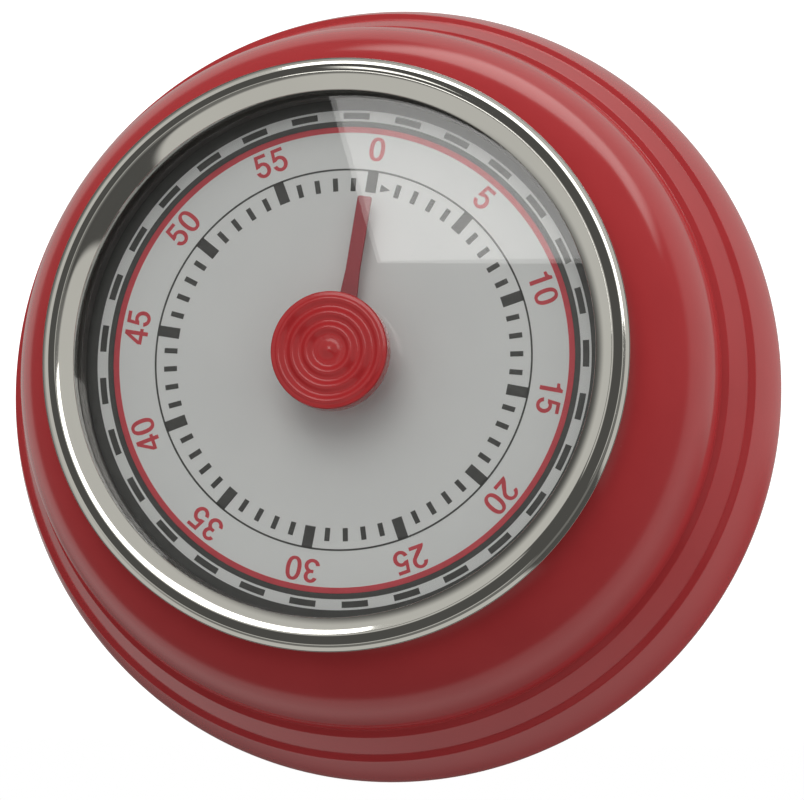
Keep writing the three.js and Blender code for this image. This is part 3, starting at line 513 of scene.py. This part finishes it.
def cutAway(mesh, cutters):
    # Takes the cutters' shapes out of a mesh and leaves a plain mesh
    work = bpy.data.objects.new("work", mesh)
    bpy.context.scene.collection.objects.link(work)
    tool = bpy.data.objects.new("tool", joinMeshes("tool", cutters))
    bpy.context.scene.collection.objects.link(tool)
    cut = work.modifiers.new("cut", "BOOLEAN")
    cut.object = tool
    cut.operation = "DIFFERENCE"
    cut.solver = "EXACT"
    bpy.context.view_layer.update()
    result = bpy.data.meshes.new_from_object(work.evaluated_get(bpy.context.evaluated_depsgraph_get()))
    bpy.data.objects.remove(work)
    bpy.data.objects.remove(tool)
    weld(result)
    return result


def drill(spot, radius, bottom, top, segments=32):
    return revolve([(0, bottom), (radius, bottom), (radius, top), (0, top)], segments, spot, closed=False)


def around(radius, degrees):
    turn = math.radians(degrees)
    return radius * math.cos(turn), radius * math.sin(turn)


# The body: a deep shoulder and two stepped bands, rolled under at the back

housing = {
    "crest": (31.2, -12.35), "middle": (33.05, -16.15), "base": (35.0, -24.0),
    "shoulderCentre": 21.65, "shoulderRise": 15.5,
    "middleStart": (31.8, -12.95), "baseStart": (33.65, -16.75),
    "baseKnee": -21.5, "edgeRoll": 0.32, "groove": 0.34, "grooveDrop": 0.18, "wall": 0.9, "neck": 23.85,
}


def bend(a, corner, b, steps=10):
    # Points of a smooth bend from a to b that leans towards the corner
    points = []
    for step in range(steps + 1):
        t = step / steps
        shares = ((a, (1 - t) ** 2), (corner, 2 * t * (1 - t)), (b, t ** 2))
        points.append(tuple(sum(end[k] * share for end, share in shares) for k in (0, 1)))
    return points


def housingOutline(look):
    crest, middle, base = look["crest"], look["middle"], look["base"]
    z = dialFace
    spread = crest[0] - look["shoulderCentre"]
    last = math.degrees(math.acos((look["neck"] + 0.62 - look["shoulderCentre"]) / spread))
    shoulder = arc((look["shoulderCentre"], z + crest[1]), (spread, look["shoulderRise"]), 2.5, last, 46)
    corners = [(33.0, 2.1, 0), (33.0, 0.4, 0.25), (34.0, 0.4, 0.5), (34.75, 1.2, 0.8)]
    points = rounded(corners + [(35.0, 2.6, 0)], 5)[:-1]
    start = (look["baseStart"][0], z + look["baseStart"][1])
    points += bend((base[0], z + base[1]), (base[0], z + look["baseKnee"]), start, 22)
    roll, groove = look["edgeRoll"], look["groove"]
    drop = look["grooveDrop"]
    edges = [
        (*start, groove),
        (middle[0] + 0.03, z + middle[1] - drop, groove),
        (middle[0], z + middle[1], roll),
        (look["middleStart"][0], z + look["middleStart"][1], groove),
        (crest[0] + 0.03, z + crest[1] - drop, groove),
        (crest[0], z + crest[1], roll),
    ]
    lead, tail = points[-2], shoulder[0]
    points = points[:-1] + rounded([(*lead, 0)] + edges + [(*tail, 0)], 6)[1:-1]
    points += shoulder
    top = shoulder[-1]
    neck = look["neck"]
    mouth = [(top[0], top[1], 0), (neck + 0.12, top[1] + 0.12, 0.14), (neck, top[1] - 0.35, 0.2)]
    points += rounded(mouth + [(look["neck"], 27.4, 0)], 4)[1:-1]
    wall = look["wall"]
    points += [
        (look["neck"], 26.3), (18.0, 26.3), (18.0, 25.4), (27.3, 25.4),
        (29.6, 19.0), (30.1, 14.05), (31.95, 10.25), (33.9, 3.0),
        (33.9, 2.1 + wall), (29.4, 2.1 + wall), (29.4, 2.1),
    ]
    return points


def makeHousing():
    mesh = revolve(housingOutline(housing), 256)
    holes = [drill(around(20, angle), 1.1, 24.9, 26.8) for angle in (75, 195, 345)]
    holes += [drill(around(31, angle), 1.1, 1.6, 3.6) for angle in (90, 210, 330)]
    mesh = cutAway(mesh, holes)
    return finishPiece("housingShell", mesh, "enamel", "case", ["housing_shell"], 35)


makeHousing()
print("housing ready")


# The bezel: a plated ring whose face rises in a soft dome to a crest and drops to a thin rim over the body

bezel = {
    "lipRadius": 22.85, "lipHeight": 4.8, "crestRadius": 24.36, "crestHeight": 5.42, "domePower": 1.4,
    "rollEnd": (24.66, 5.18), "dropEnd": (25.1, 4.58), "rimRadius": 25.75, "rimHeight": 4.5, "rimFall": 0.16,
    "skirtRadius": 23.55, "skirtInner": 23.2,
}


def makeBezel():
    look = bezel
    z = dialFace
    crest, top, rim = look["crestRadius"], z + look["crestHeight"], z + look["rimHeight"]
    roll = (look["rollEnd"][0], z + look["rollEnd"][1])
    drop = (look["dropEnd"][0], z + look["dropEnd"][1])
    under = [
        (look["skirtInner"], z + 3.4, 0), (look["skirtInner"], z + 0.5, 0.1),
        (look["skirtRadius"], z + 0.5, 0.1),
        (look["skirtRadius"], z + 3.5, 0.25), (look["rimRadius"] - 0.3, z + 3.95, 0.2),
        (look["rimRadius"], rim - look["rimFall"] - 0.22, 0.1),
        (look["rimRadius"], rim - look["rimFall"], 0.16),
        (look["rimRadius"] - 0.35, rim, 0.3), (drop[0] + 0.08, rim + 0.02, 0.15), (*drop, 0),
    ]
    points = rounded(under, 6) + bend(roll, (crest + 0.12, top - 0.02), (crest, top), 8)
    inner = look["lipRadius"] + 0.1
    lift = look["crestHeight"] - look["lipHeight"]
    for step in range(25):
        part = step / 24
        points.append((crest - (crest - inner) * part, top - lift * part ** look["domePower"]))
    lip = [
        (*points[-1], 0), (look["lipRadius"], points[-1][1] - 0.06, 0.1), (look["lipRadius"], z + 3.4, 0.06),
        (look["skirtInner"], z + 3.4, 0),
    ]
    points += rounded(lip, 4)[1:-1]
    mesh = revolve(points, 256)
    return finishPiece("bezelRing", mesh, "chrome", "setting", ["bezel_ring"], 50)


makeBezel()
print("bezel ready")


# The lens and the ring behind it

lens = {"radius": 23.1, "hole": 2.9, "edge": 0.12}


def makeLens():
    radius, hole, edge = lens["radius"], lens["hole"], lens["edge"]
    outline = [
        (hole, lensUnderside, edge), (radius, lensUnderside, edge),
        (radius, lensTop, edge), (hole, lensTop, edge),
    ]
    mesh = revolve(rounded(outline, 3), 192)
    return finishPiece("lensPane", mesh, "lens", "setting", ["lens"], 30)


retainer = {"inner": 22.6, "outer": 23.1, "bottom": 27.7, "top": 29.2, "edge": 0.08}


def makeRetainer():
    look = retainer
    outline = [
        (look["inner"], look["bottom"], look["edge"]), (look["outer"], look["bottom"], look["edge"]),
        (look["outer"], look["top"], look["edge"]), (look["inner"], look["top"], look["edge"]),
    ]
    mesh = revolve(rounded(outline, 3), 192)
    slot = "black_plastic"
    return finishPiece("lensRetainer", mesh, slot, "setting", ["lens_retainer"], 35)


makeLens()
makeRetainer()


# The hub cap with its ripples, and the hand under the lens

hub = {
    "radius": 5.1, "front": 6.6, "rise": 2.2, "shank": 2.6, "edgeRoll": 0.38,
    "crests": [1.95, 3.2, 4.45], "bump": 1.05, "depth": 0.28,
}


def hubHeight(radius):
    # Waves across the face: a domed centre, then rounded ridges with narrower valleys
    crests = [0.0] + hub["crests"]
    nearest = min(abs(radius - crest) for crest in crests)
    halfGap = 0.625 if radius > hub["bump"] - 0.05 else 1.0
    wave = 0.5 + 0.5 * math.cos(math.pi * min(1.0, nearest / halfGap))
    return -hub["depth"] * (1 - wave)


def makeHubCap():
    front = dialFace + hub["front"]
    under = front - hub["rise"]
    edge = hub["radius"] - hub["edgeRoll"]
    face = []
    steps = 84
    for step in range(steps):
        radius = edge * (1 - step / steps)
        face.append((radius, front - 0.02 + hubHeight(radius) - 0.1 * (radius / edge) ** 2))
    edgeTop = face[0][1]
    side = rounded(
        [
            (hub["shank"], under, 0), (hub["radius"] - 0.12, under, 0.12), (hub["radius"], under + 0.3, 0.2),
            (hub["radius"], edgeTop - 0.02, 0.42), (edge, edgeTop, 0),
        ],
        6,
    )
    bore = [(0, front - 0.9), (1.6, front - 0.9), (1.6, 29.0), (hub["shank"], 29.0)]
    mesh = revolve(side[:-1] + face + [(0, front - 0.02)] + bore, 144)
    return finishPiece("hubCap", mesh, "red_plastic", "setting", ["hub_cap"], 40)


pointer = {"length": 14.1, "width": 1.25, "root": 1.6, "bottom": 28.6, "top": 28.9, "boss": 2.4}


def makePointer():
    half, root, length = pointer["width"] / 2, pointer["root"] / 2, pointer["length"]
    blade = rounded(
        [
            (root + 0.2, 1.6, 0), (root, 5.0, 1.5), (half, 7.5, 1.5), (half, length, 0.22),
            (-half, length, 0.22), (-half, 7.5, 1.5), (-root, 5.0, 1.5), (-root - 0.2, 1.6, 0),
        ],
        4,
    )
    bladeMesh = plate([blade], pointer["bottom"], pointer["top"], 0.05)
    boss = rounded(
        [
            (1.6, 27.9, 0.05), (pointer["boss"], 27.9, 0.08),
            (pointer["boss"], 28.88, 0.12), (1.6, 28.88, 0.05),
        ],
        3,
    )
    mesh = joinMeshes("pointerHand", [bladeMesh, revolve(boss, 64)])
    return finishPiece("pointerHand", mesh, "pointer", "setting", ["pointer_hand"], 30)


makeHubCap()
makePointer()
print("lens, hub and hand ready")


# The dial plate and what is printed on it

dial = {"radius": 23.55, "bottom": 26.4, "hole": 1.8, "footRadius": 0.7, "footX": 14, "footBottom": 23.9}


def makeDialPlate():
    outline = rounded(
        [
            (dial["hole"], dial["bottom"], 0.06), (dial["radius"], dial["bottom"], 0.08),
            (dial["radius"], dialFace, 0.08), (dial["hole"], dialFace, 0.06),
        ],
        3,
    )
    feet = []
    for x in (-dial["footX"], dial["footX"]):
        foot = rounded(
            [(0, 26.45, 0), (0, dial["footBottom"], 0), (dial["footRadius"], dial["footBottom"], 0.15),
             (dial["footRadius"], 26.45, 0)], 3)
        feet.append(revolve(foot, 24, (x, 0), closed=True))
    mesh = joinMeshes("dialPlate", [revolve(outline, 192)] + feet)
    return finishPiece("dialPlate", mesh, "dial", "case", ["dial_plate"], 35)


printing = {
    "thickness": 0.02, "sunk": 0.015, "minuteZero": 2.98, "minutePitch": 5.95,
    "minorTick": (14.7, 15.85, 0.45), "majorTick": (14.7, 16.58, 0.93), "circle": (16.52, 16.68),
    "numberRadius": 17.5, "numberHeight": 2.05, "advance": 1.58, "redRing": (19.85, 20.37),
    "innerTrack": (20.35, 20.85), "dashes": (21.05, 21.6), "dashCount": 29, "margin": (21.8, 23.0),
}


def minuteAngle(minute):
    # Degrees clockwise from the 0 mark
    return printing["minuteZero"] + minute * printing["minutePitch"] if minute else 0.0


def printed(loops):
    return plate(loops, dialFace - printing["sunk"], dialFace + printing["thickness"])


def turnClockwise(points, degrees):
    turn = math.radians(-degrees)
    c, s = math.cos(turn), math.sin(turn)
    return [(x * c - y * s, x * s + y * c) for x, y in points]


def annulus(inner, outer, steps=240):
    return [arc((0, 0), (outer, outer), 0, 360 - 360 / steps, steps - 1),
            arc((0, 0), (inner, inner), 0, 360 - 360 / steps, steps - 1)]


def ringSector(inner, outer, start, end, steps=6):
    # Angles are clockwise from the 0 mark
    outside = arc((0, 0), (outer, outer), 90 - start, 90 - end, steps)
    inside = arc((0, 0), (inner, inner), 90 - end, 90 - start, steps)
    return outside + inside


def tickLoops():
    loops = []
    for minute in range(60):
        inner, outer, width = printing["majorTick"] if minute % 5 == 0 else printing["minorTick"]
        box = [(-width / 2, inner), (width / 2, inner), (width / 2, outer), (-width / 2, outer)]
        loops.append(turnClockwise(box, minuteAngle(minute)))
    return loops


def digitLoops(digit):
    # Bold upright figures, one unit high and two thirds wide, with butt ends
    if digit == "0":
        outer = [superPoint(0.33, 0.5, 0.33, 0.51, 2.35, a) for a in range(0, 360, 9)]
        inner = [superPoint(0.33, 0.5, 0.155, 0.375, 2.3, a) for a in range(0, 360, 9)]
        return [outer, inner]
    if digit == "1":
        return [[(0.29, 0), (0.47, 0), (0.47, 1), (0.335, 1), (0.305, 0.92), (0.24, 0.86), (0.09, 0.83),
                 (0.09, 0.71), (0.29, 0.71)]]
    if digit == "2":
        bowl = arc((0.33, 0.685), (0.325, 0.325), 172, -32, 20)
        inner = arc((0.33, 0.69), (0.155, 0.185), -40, 172, 16)
        return [bowl + [(0.40, 0.26), (0.29, 0.155), (0.65, 0.155), (0.65, 0), (0.0, 0), (0.03, 0.11),
                        (0.11, 0.23), (0.26, 0.38)] + inner]
    if digit == "3":
        upper = arc((0.32, 0.735), (0.29, 0.275), 168, -42, 18)
        lower = arc((0.325, 0.29), (0.33, 0.30), 44, -172, 20)
        lowerInner = arc((0.325, 0.295), (0.16, 0.16), -170, 82, 16)
        upperInner = arc((0.32, 0.73), (0.125, 0.14), -84, 166, 14)
        return [upper + lower + lowerInner + [(0.23, 0.452), (0.23, 0.59)] + upperInner]
    if digit == "4":
        outer = [(0.385, 0), (0.555, 0), (0.555, 0.215), (0.67, 0.215), (0.67, 0.36), (0.555, 0.36),
                 (0.555, 1),
                 (0.385, 1), (0.0, 0.385), (0.0, 0.215), (0.385, 0.215)]
        return [outer, [(0.385, 0.36), (0.385, 0.74), (0.15, 0.36)]]
    bowl = arc((0.325, 0.33), (0.33, 0.34), 112, -170, 24)
    inner = arc((0.325, 0.33), (0.16, 0.195), -168, 132, 20)
    return [[(0.11, 1), (0.60, 1), (0.60, 0.85), (0.235, 0.85), (0.205, 0.655)] + bowl[1:] + inner
            + [(0.04, 0.445)]]


def superPoint(x, y, a, b, power, degrees):
    turn = math.radians(degrees)
    c, s = math.cos(turn), math.sin(turn)
    return (x + a * math.copysign(abs(c) ** (2 / power), c), y + b * math.copysign(abs(s) ** (2 / power), s))


def numberMeshes():
    height, advance = printing["numberHeight"], printing["advance"]
    meshes = []
    for minute in range(0, 60, 5):
        text = str(minute)
        left = -(advance * (len(text) - 1) + 0.66 * height) / 2
        for index, digit in enumerate(text):
            shift = left + index * advance
            loops = [
                turnClockwise(
                    [(shift + x * height, printing["numberRadius"] + y * height) for x, y in loop],
                    minuteAngle(minute),
                )
                for loop in digitLoops(digit)
            ]
            meshes.append(printed(loops))
    return meshes


def makePrinting():
    pieces = {
        "minuteTicks": ("blackInk", [printed(tickLoops())]),
        "scaleCircle": ("blackInk", [printed(annulus(*printing["circle"]))]),
        "innerTrack": ("blackInk", [printed(annulus(*printing["innerTrack"]))]),
        "dialMargin": ("blackInk", [printed(annulus(*printing["margin"]))]),
        "redRing": ("redInk", [printed(annulus(*printing["redRing"]))]),
        "minuteNumbers": ("redInk", numberMeshes()),
    }
    inner, outer = printing["dashes"]
    pitch = 360 / printing["dashCount"]
    dashes = [
        ringSector(inner, outer, (n + 0.25) * pitch, (n + 0.75) * pitch)
        for n in range(printing["dashCount"])
    ]
    pieces["trackDashes"] = ("blackInk", [printed(dashes)])
    arrow = turnClockwise([(-0.43, 14.87), (0.44, 15.2), (-0.43, 15.53)], 4.8)
    pieces["windingArrow"] = ("blackInk", [printed([arrow])])
    for name, (ink, meshes) in pieces.items():
        finishPiece(name, joinMeshes(name, meshes), ink, "case")


makeDialPlate()
makePrinting()
print("dial ready")


# The back: a pressed cover with sound slots, the magnet in its cup, the rubber foot ring and three screws

cover = {
    "radius": 32.7, "hole": 10.9, "bottom": 1.2, "top": 2.0, "slotX": 19, "slotLength": 7, "slotWidth": 1.6,
}


def slotCutter(x, y):
    half, reach = cover["slotWidth"] / 2, cover["slotLength"] / 2
    loop = arc((x + reach, y), (half, half), -90, 90, 10) + arc((x - reach, y), (half, half), 90, 270, 10)
    return plate([loop], 0.5, 2.8)


def makeCover():
    look = cover
    outline = rounded(
        [
            (look["hole"], look["bottom"], 0.12), (25.2, look["bottom"], 0.1),
            (25.5, look["bottom"] + 0.2, 0.1),
            (29.1, look["bottom"] + 0.2, 0.1), (29.3, look["bottom"], 0.1),
            (look["radius"], look["bottom"], 0.2),
            (look["radius"], look["top"], 0.1), (look["hole"], look["top"], 0.1),
        ],
        4,
    )
    mesh = revolve(outline, 192)
    cutters = [slotCutter(look["slotX"], (n - 2) * 2 * look["slotWidth"]) for n in range(5)]
    cutters += [drill(around(31, angle), 1.1, 0.5, 2.8) for angle in (90, 210, 330)]
    mesh = cutAway(mesh, cutters)
    return finishPiece("backCover", mesh, "steel", "case", ["back_cover"], 30)


def makeMagnet():
    outline = rounded([(0, 0.0, 0), (10.0, 0.0, 0.35), (10.0, 3.2, 0.2), (0, 3.2, 0)], 4)
    mesh = revolve(outline, 128, closed=False)
    return finishPiece("magnetDisc", mesh, "ferrite", "case", ["magnet"], 35)


def makeMagnetCup():
    outline = [
        (0, 3.3, 0), (10.1, 3.3, 0.15), (10.1, 0.2, 0.1), (10.8, 0.2, 0.2), (10.8, 2.1, 0.1),
        (12.8, 2.1, 0.1),
        (12.8, 2.8, 0.15), (10.8, 2.8, 0.15), (10.8, 4.0, 0.45), (0, 4.0, 0),
    ]
    mesh = revolve(rounded(outline, 4), 128, closed=False)
    return finishPiece("magnetCup", mesh, "steel", "case", ["magnet_cup"], 35)


def makeFootRing():
    outline = [
        (26.1, 1.1, 0.1), (26.1, 0.15, 0.25), (26.6, 0.0, 0.15), (26.95, 0.0, 0.1), (27.1, 0.18, 0.1),
        (27.6, 0.18, 0.1), (27.75, 0.0, 0.1), (28.1, 0.0, 0.15), (28.6, 0.15, 0.25), (28.6, 1.1, 0.1),
    ]
    mesh = revolve(rounded(outline, 4), 192)
    return finishPiece("footRing", mesh, "rubber", "case", ["foot_ring"], 40)


coverScrew = {"radius": 1.8, "shank": 1.0, "bottom": 0.28, "top": 1.18, "slot": 0.45, "dome": 0.28}


def makeCoverScrew(number, spot, slotAngle):
    look = coverScrew
    low, high = look["bottom"], look["top"]
    dome = [(look["radius"] * math.sin(t), low + look["dome"] * (1 - math.cos(t)) / (1 - math.cos(1.2)))
            for t in [1.2 * step / 8 for step in range(9)]]
    scale = look["radius"] / dome[-1][0]
    dome = [(radius * scale, height) for radius, height in dome]
    side = rounded(
        [(look["radius"], dome[-1][1], 0), (look["radius"], high, 0.08), (look["shank"], high, 0.05),
         (look["shank"], 3.6, 0.1), (0.55, 4.0, 0.1), (0, 4.0, 0)], 3)
    outline = dome + side[1:]
    mesh = revolve(outline, 48, spot, closed=False)
    half = look["slot"] / 2
    box = [(-2.5, -half), (2.5, -half), (2.5, half), (-2.5, half)]
    turn = math.radians(slotAngle)
    c, s = math.cos(turn), math.sin(turn)
    groove = [(spot[0] + x * c - y * s, spot[1] + x * s + y * c) for x, y in box]
    mesh = cutAway(mesh, [plate([groove], 0.0, low + 0.5)])
    return finishPiece(f"coverScrew{number}", mesh, "steel", "case", [f"cover_screw_{number}"], 30)


makeCover()
makeMagnet()
makeMagnetCup()
makeFootRing()
for number, (angle, slotAngle) in enumerate(((90, 20), (210, 75), (330, 140)), 1):
    makeCoverScrew(number, around(31, angle), slotAngle)
print("back ready")


# The movement keeps its own shapes and takes the metals and plastics that it is made of

slotOf = {part["node"]: part["material_slot"] for part in frame["record"]["subparts"]}
for name, node in nodes.items():
    if node.hide_render:
        continue
    node.data.materials.clear()
    node.data.materials.append(finishes[slotOf[name]])
    node.data.shade_smooth()
    node.data.set_sharp_from_angle(angle=math.radians(28))
print("movement finished")


# Camera, floor and light

cameraLook = {
    "from": (113.741, -52.849, 530.695), "right": (0.96808963, 0.16152199, -0.19160664),
    "up": (-0.13864267, 0.98211148, 0.12741764), "back": (0.20875983, -0.09678684, 0.97316578),
    "lens": 268.656,
}


def makeCamera():
    data = bpy.data.cameras.new("camera")
    data.lens = cameraLook["lens"]
    data.sensor_width = 36
    data.clip_start, data.clip_end = 0.01, 50
    camera = bpy.data.objects.new("camera", data)
    bpy.context.scene.collection.objects.link(camera)
    axes = [Vector(cameraLook[key]) for key in ("right", "up", "back")]
    turn = Matrix((axes[0], axes[1], axes[2])).transposed().to_4x4()
    camera.matrix_world = Matrix.Translation(Vector(cameraLook["from"]) * mm) @ turn
    bpy.context.scene.camera = camera


light = {
    "imageUp": (-0.139, 0.982, 0.127), "imageRight": (0.968, 0.162, -0.192),
    "front": 0.60, "frontSpread": (0.80, 0.45), "side": 0.15, "sideSlope": 0.24,
    "floorDiffuse": 1.4, "floorShade": 0.52, "floorShadeReach": (0.015, 0.045),
    "floorLiftReach": (0.45, 0.9), "deep": (-0.92, -0.72), "deepSide": (0.02, 0.20), "deepShade": 0.95,
    "floorGloss": 0.34, "floorGlossEdge": (-0.63, -0.55), "floorLift": 0.04, "roomGloss": 0.08,
    "frontGloss": 0.45, "frontGlossEdge": (0.30, 0.56), "frontDim": 0.8,
    "watcherAzimuth": -28.0, "watcherWidth": 0.15, "watcherEdge": 0.06,
    "frontDimEdge": (0.90, 0.95), "watcherReach": (0.12, 0.20),
    "streakFacing": (0.70, 0.80), "streakLean": 0.65, "streakTopEdge": 0.03, "streakLowEdge": 0.05,
    "streak": 1.8, "streakTop": -0.41, "streakLow": -0.62, "streakLift": 0.55, "streakAzimuth": 65.0,
    "softbox": 3.0, "softboxSize": (225, 330), "softboxCorner": (-86.0, 57.0, 427.0),
    "softboxAlong": (0.990, 0.138, 0.0), "softboxUp": (-0.43, 0.903, 0.0),
    "floorReach": 3.0, "floorDrop": 0.0002, "surroundingsRadius": 2.5,
}


def dotWith(tree, way, direction):
    settings = {"operation": "DOT_PRODUCT"}
    return addNode(tree, "ShaderNodeVectorMath", settings, i0=way, i1=tuple(direction)).outputs["Value"]


def product(tree, *factors):
    total = factors[0]
    for factor in factors[1:]:
        total = mathNode(tree, "MULTIPLY", total, factor)
    return total


def inverse(tree, value):
    return mathNode(tree, "SUBTRACT", 1.0, value)


def emissionStage(name, mesh, build, camera=False, diffuse=False, glossy=True):
    material = bpy.data.materials.new(name)
    material.use_nodes = True
    tree = material.node_tree
    tree.nodes.clear()
    out = tree.nodes.new("ShaderNodeOutputMaterial")
    tree.links.new(build(tree), out.inputs["Surface"])
    mesh.materials.append(material)
    thing = bpy.data.objects.new(name, mesh)
    bpy.context.scene.collection.objects.link(thing)
    thing.visible_camera, thing.visible_diffuse, thing.visible_glossy = camera, diffuse, glossy
    thing.visible_shadow = False
    return thing


def makeFloor():
    # White to the eye, a soft bounce to everything else that is dimmer on the shaded side, open from below
    def build(tree):
        path = tree.nodes.new("ShaderNodeLightPath")
        place = addNode(tree, "ShaderNodeTexCoord").outputs["Object"]
        downward = dotWith(tree, place, -Vector(light["imageUp"]))
        shaded = ramp(tree, downward, *light["floorShadeReach"])
        bounce = mathNode(tree, "MULTIPLY", shaded, -light["floorShade"] * light["floorDiffuse"])
        bounce = mathNode(tree, "ADD", bounce, light["floorDiffuse"])
        strength = mathNode(tree, "MAXIMUM", bounce, path.outputs["Is Camera Ray"])
        glow = addNode(tree, "ShaderNodeEmission", Color=(1, 1, 1, 1), Strength=strength)
        clear = tree.nodes.new("ShaderNodeBsdfTransparent")
        back = tree.nodes.new("ShaderNodeNewGeometry").outputs["Backfacing"]
        mix = addNode(tree, "ShaderNodeMixShader", i0=back, i1=glow.outputs[0], i2=clear.outputs[0])
        return mix.outputs[0]

    mesh = bpy.data.meshes.new("floor")
    reach = light["floorReach"]
    corners = [(-reach, -reach, 0), (reach, -reach, 0), (reach, reach, 0), (-reach, reach, 0)]
    mesh.from_pydata(corners, [], [(0, 1, 2, 3)])
    floor = emissionStage("floor", mesh, build, camera=True, diffuse=True, glossy=False)
    floor.location = (0, 0, -light["floorDrop"])
    return floor


def makeSurroundings():
    # What the gloss sees: a light floor, dark sides, a light front with a dark watcher,
    # and a bright strip at the upper right
    right, up = Vector(light["imageRight"]), Vector(light["imageUp"])

    def build(tree):
        place = addNode(tree, "ShaderNodeTexCoord").outputs["Object"]
        way = addNode(tree, "ShaderNodeVectorMath", {"operation": "NORMALIZE"}, i0=place).outputs[0]
        height = addNode(tree, "ShaderNodeSeparateXYZ", Vector=way).outputs[2]
        upward = dotWith(tree, way, up)
        downward = mathNode(tree, "MULTIPLY", upward, -1.0)

        lifted = product(tree, ramp(tree, downward, *light["floorLiftReach"]), light["floorLift"])
        lowered = mathNode(tree, "SUBTRACT", height, lifted)
        below = inverse(tree, ramp(tree, lowered, *light["floorGlossEdge"]))
        deep = inverse(tree, ramp(tree, height, *light["deep"]))
        shaded = product(tree, deep, ramp(tree, downward, *light["deepSide"]), light["deepShade"])
        glow = product(tree, below, inverse(tree, shaded), light["floorGloss"])

        turn = math.radians(light["streakAzimuth"])
        aim = right * math.cos(turn) + up * math.sin(turn)
        facing = ramp(tree, dotWith(tree, way, aim), *light["streakFacing"])
        lean = mathNode(tree, "SUBTRACT", upward, light["streakLean"])
        lean = product(tree, lean, light["streakLift"])
        level = mathNode(tree, "SUBTRACT", height, mathNode(tree, "MAXIMUM", lean, 0.0))
        top, low = light["streakTop"], light["streakLow"]
        topFade = inverse(tree, ramp(tree, level, top - light["streakTopEdge"], top))
        lowFade = ramp(tree, height, low, low + light["streakLowEdge"])
        glow = mathNode(tree, "ADD", glow, product(tree, facing, topFade, lowFade, light["streak"]))

        centre = ramp(tree, height, *light["frontDimEdge"])
        around = inverse(tree, product(tree, centre, light["frontDim"]))
        turn = math.radians(light["watcherAzimuth"])
        aim = (math.cos(turn), math.sin(turn), 0)
        along = ramp(tree, dotWith(tree, way, aim), *light["watcherReach"])
        across = mathNode(tree, "ABSOLUTE", dotWith(tree, way, (-math.sin(turn), math.cos(turn), 0)))
        width = light["watcherWidth"]
        outside = ramp(tree, across, width, width + light["watcherEdge"])
        watcher = product(tree, along, inverse(tree, outside))
        ahead = product(tree, ramp(tree, height, *light["frontGlossEdge"]), around, inverse(tree, watcher))
        glow = mathNode(tree, "ADD", glow, product(tree, ahead, light["frontGloss"]))
        glow = mathNode(tree, "ADD", glow, light["roomGloss"])
        return addNode(tree, "ShaderNodeEmission", Color=(1, 0.99, 0.95, 1), Strength=glow).outputs[0]

    shape = bmesh.new()
    bmesh.ops.create_icosphere(shape, subdivisions=4, radius=light["surroundingsRadius"])
    mesh = bpy.data.meshes.new("surroundings")
    shape.to_mesh(mesh)
    shape.free()
    dome = emissionStage("surroundings", mesh, build)
    mesh.materials[0].cycles.emission_sampling = "NONE"
    return dome


def makeSoftbox():
    def build(tree):
        glow = addNode(tree, "ShaderNodeEmission", Color=(1, 0.99, 0.97, 1), Strength=light["softbox"])
        return glow.outputs[0]

    corner = Vector(light["softboxCorner"])
    along = Vector(light["softboxAlong"])
    upward = Vector(light["softboxUp"])
    wide, deep = light["softboxSize"]
    corners = [corner, corner + along * wide, corner + along * wide + upward * deep, corner + upward * deep]
    mesh = bpy.data.meshes.new("softbox")
    mesh.from_pydata([tuple(point * mm) for point in corners], [], [(0, 3, 2, 1)])
    return emissionStage("softbox", mesh, build, diffuse=True)


def makeWorld():
    # Soft light from the front, dimmer at the sides and brighter towards the top,
    # with plain white behind everything
    world = bpy.data.worlds.new("softLight")
    world.use_nodes = True
    tree = world.node_tree
    tree.nodes.clear()
    way = addNode(tree, "ShaderNodeTexCoord").outputs["Generated"]
    height = addNode(tree, "ShaderNodeSeparateXYZ", Vector=way).outputs[2]
    wide, narrow = light["frontSpread"][1], light["frontSpread"][0]
    ahead = product(tree, ramp(tree, height, wide, narrow), light["front"] - light["side"])
    tilt = Vector(light["imageUp"]) + Vector(light["imageRight"]) * 0.1
    slope = product(tree, dotWith(tree, way, tilt), light["sideSlope"])
    soft = mathNode(tree, "ADD", mathNode(tree, "ADD", ahead, light["side"]), slope)
    soft = mathNode(tree, "MAXIMUM", soft, 0.02)
    path = tree.nodes.new("ShaderNodeLightPath")
    seen = path.outputs["Is Camera Ray"]
    plain = mathNode(tree, "MULTIPLY", soft, mathNode(tree, "SUBTRACT", 1.0, seen))
    strength = mathNode(tree, "ADD", plain, seen)
    back = addNode(tree, "ShaderNodeBackground", Color=(1, 1, 1, 1), Strength=strength)
    out = tree.nodes.new("ShaderNodeOutputWorld")
    tree.links.new(back.outputs[0], out.inputs["Surface"])
    world.cycles_visibility.glossy = False
    bpy.context.scene.world = world


makeCamera()
makeFloor()
makeSurroundings()
makeSoftbox()
makeWorld()
bpy.context.scene.view_settings.view_transform = "Standard"
print("stage ready")
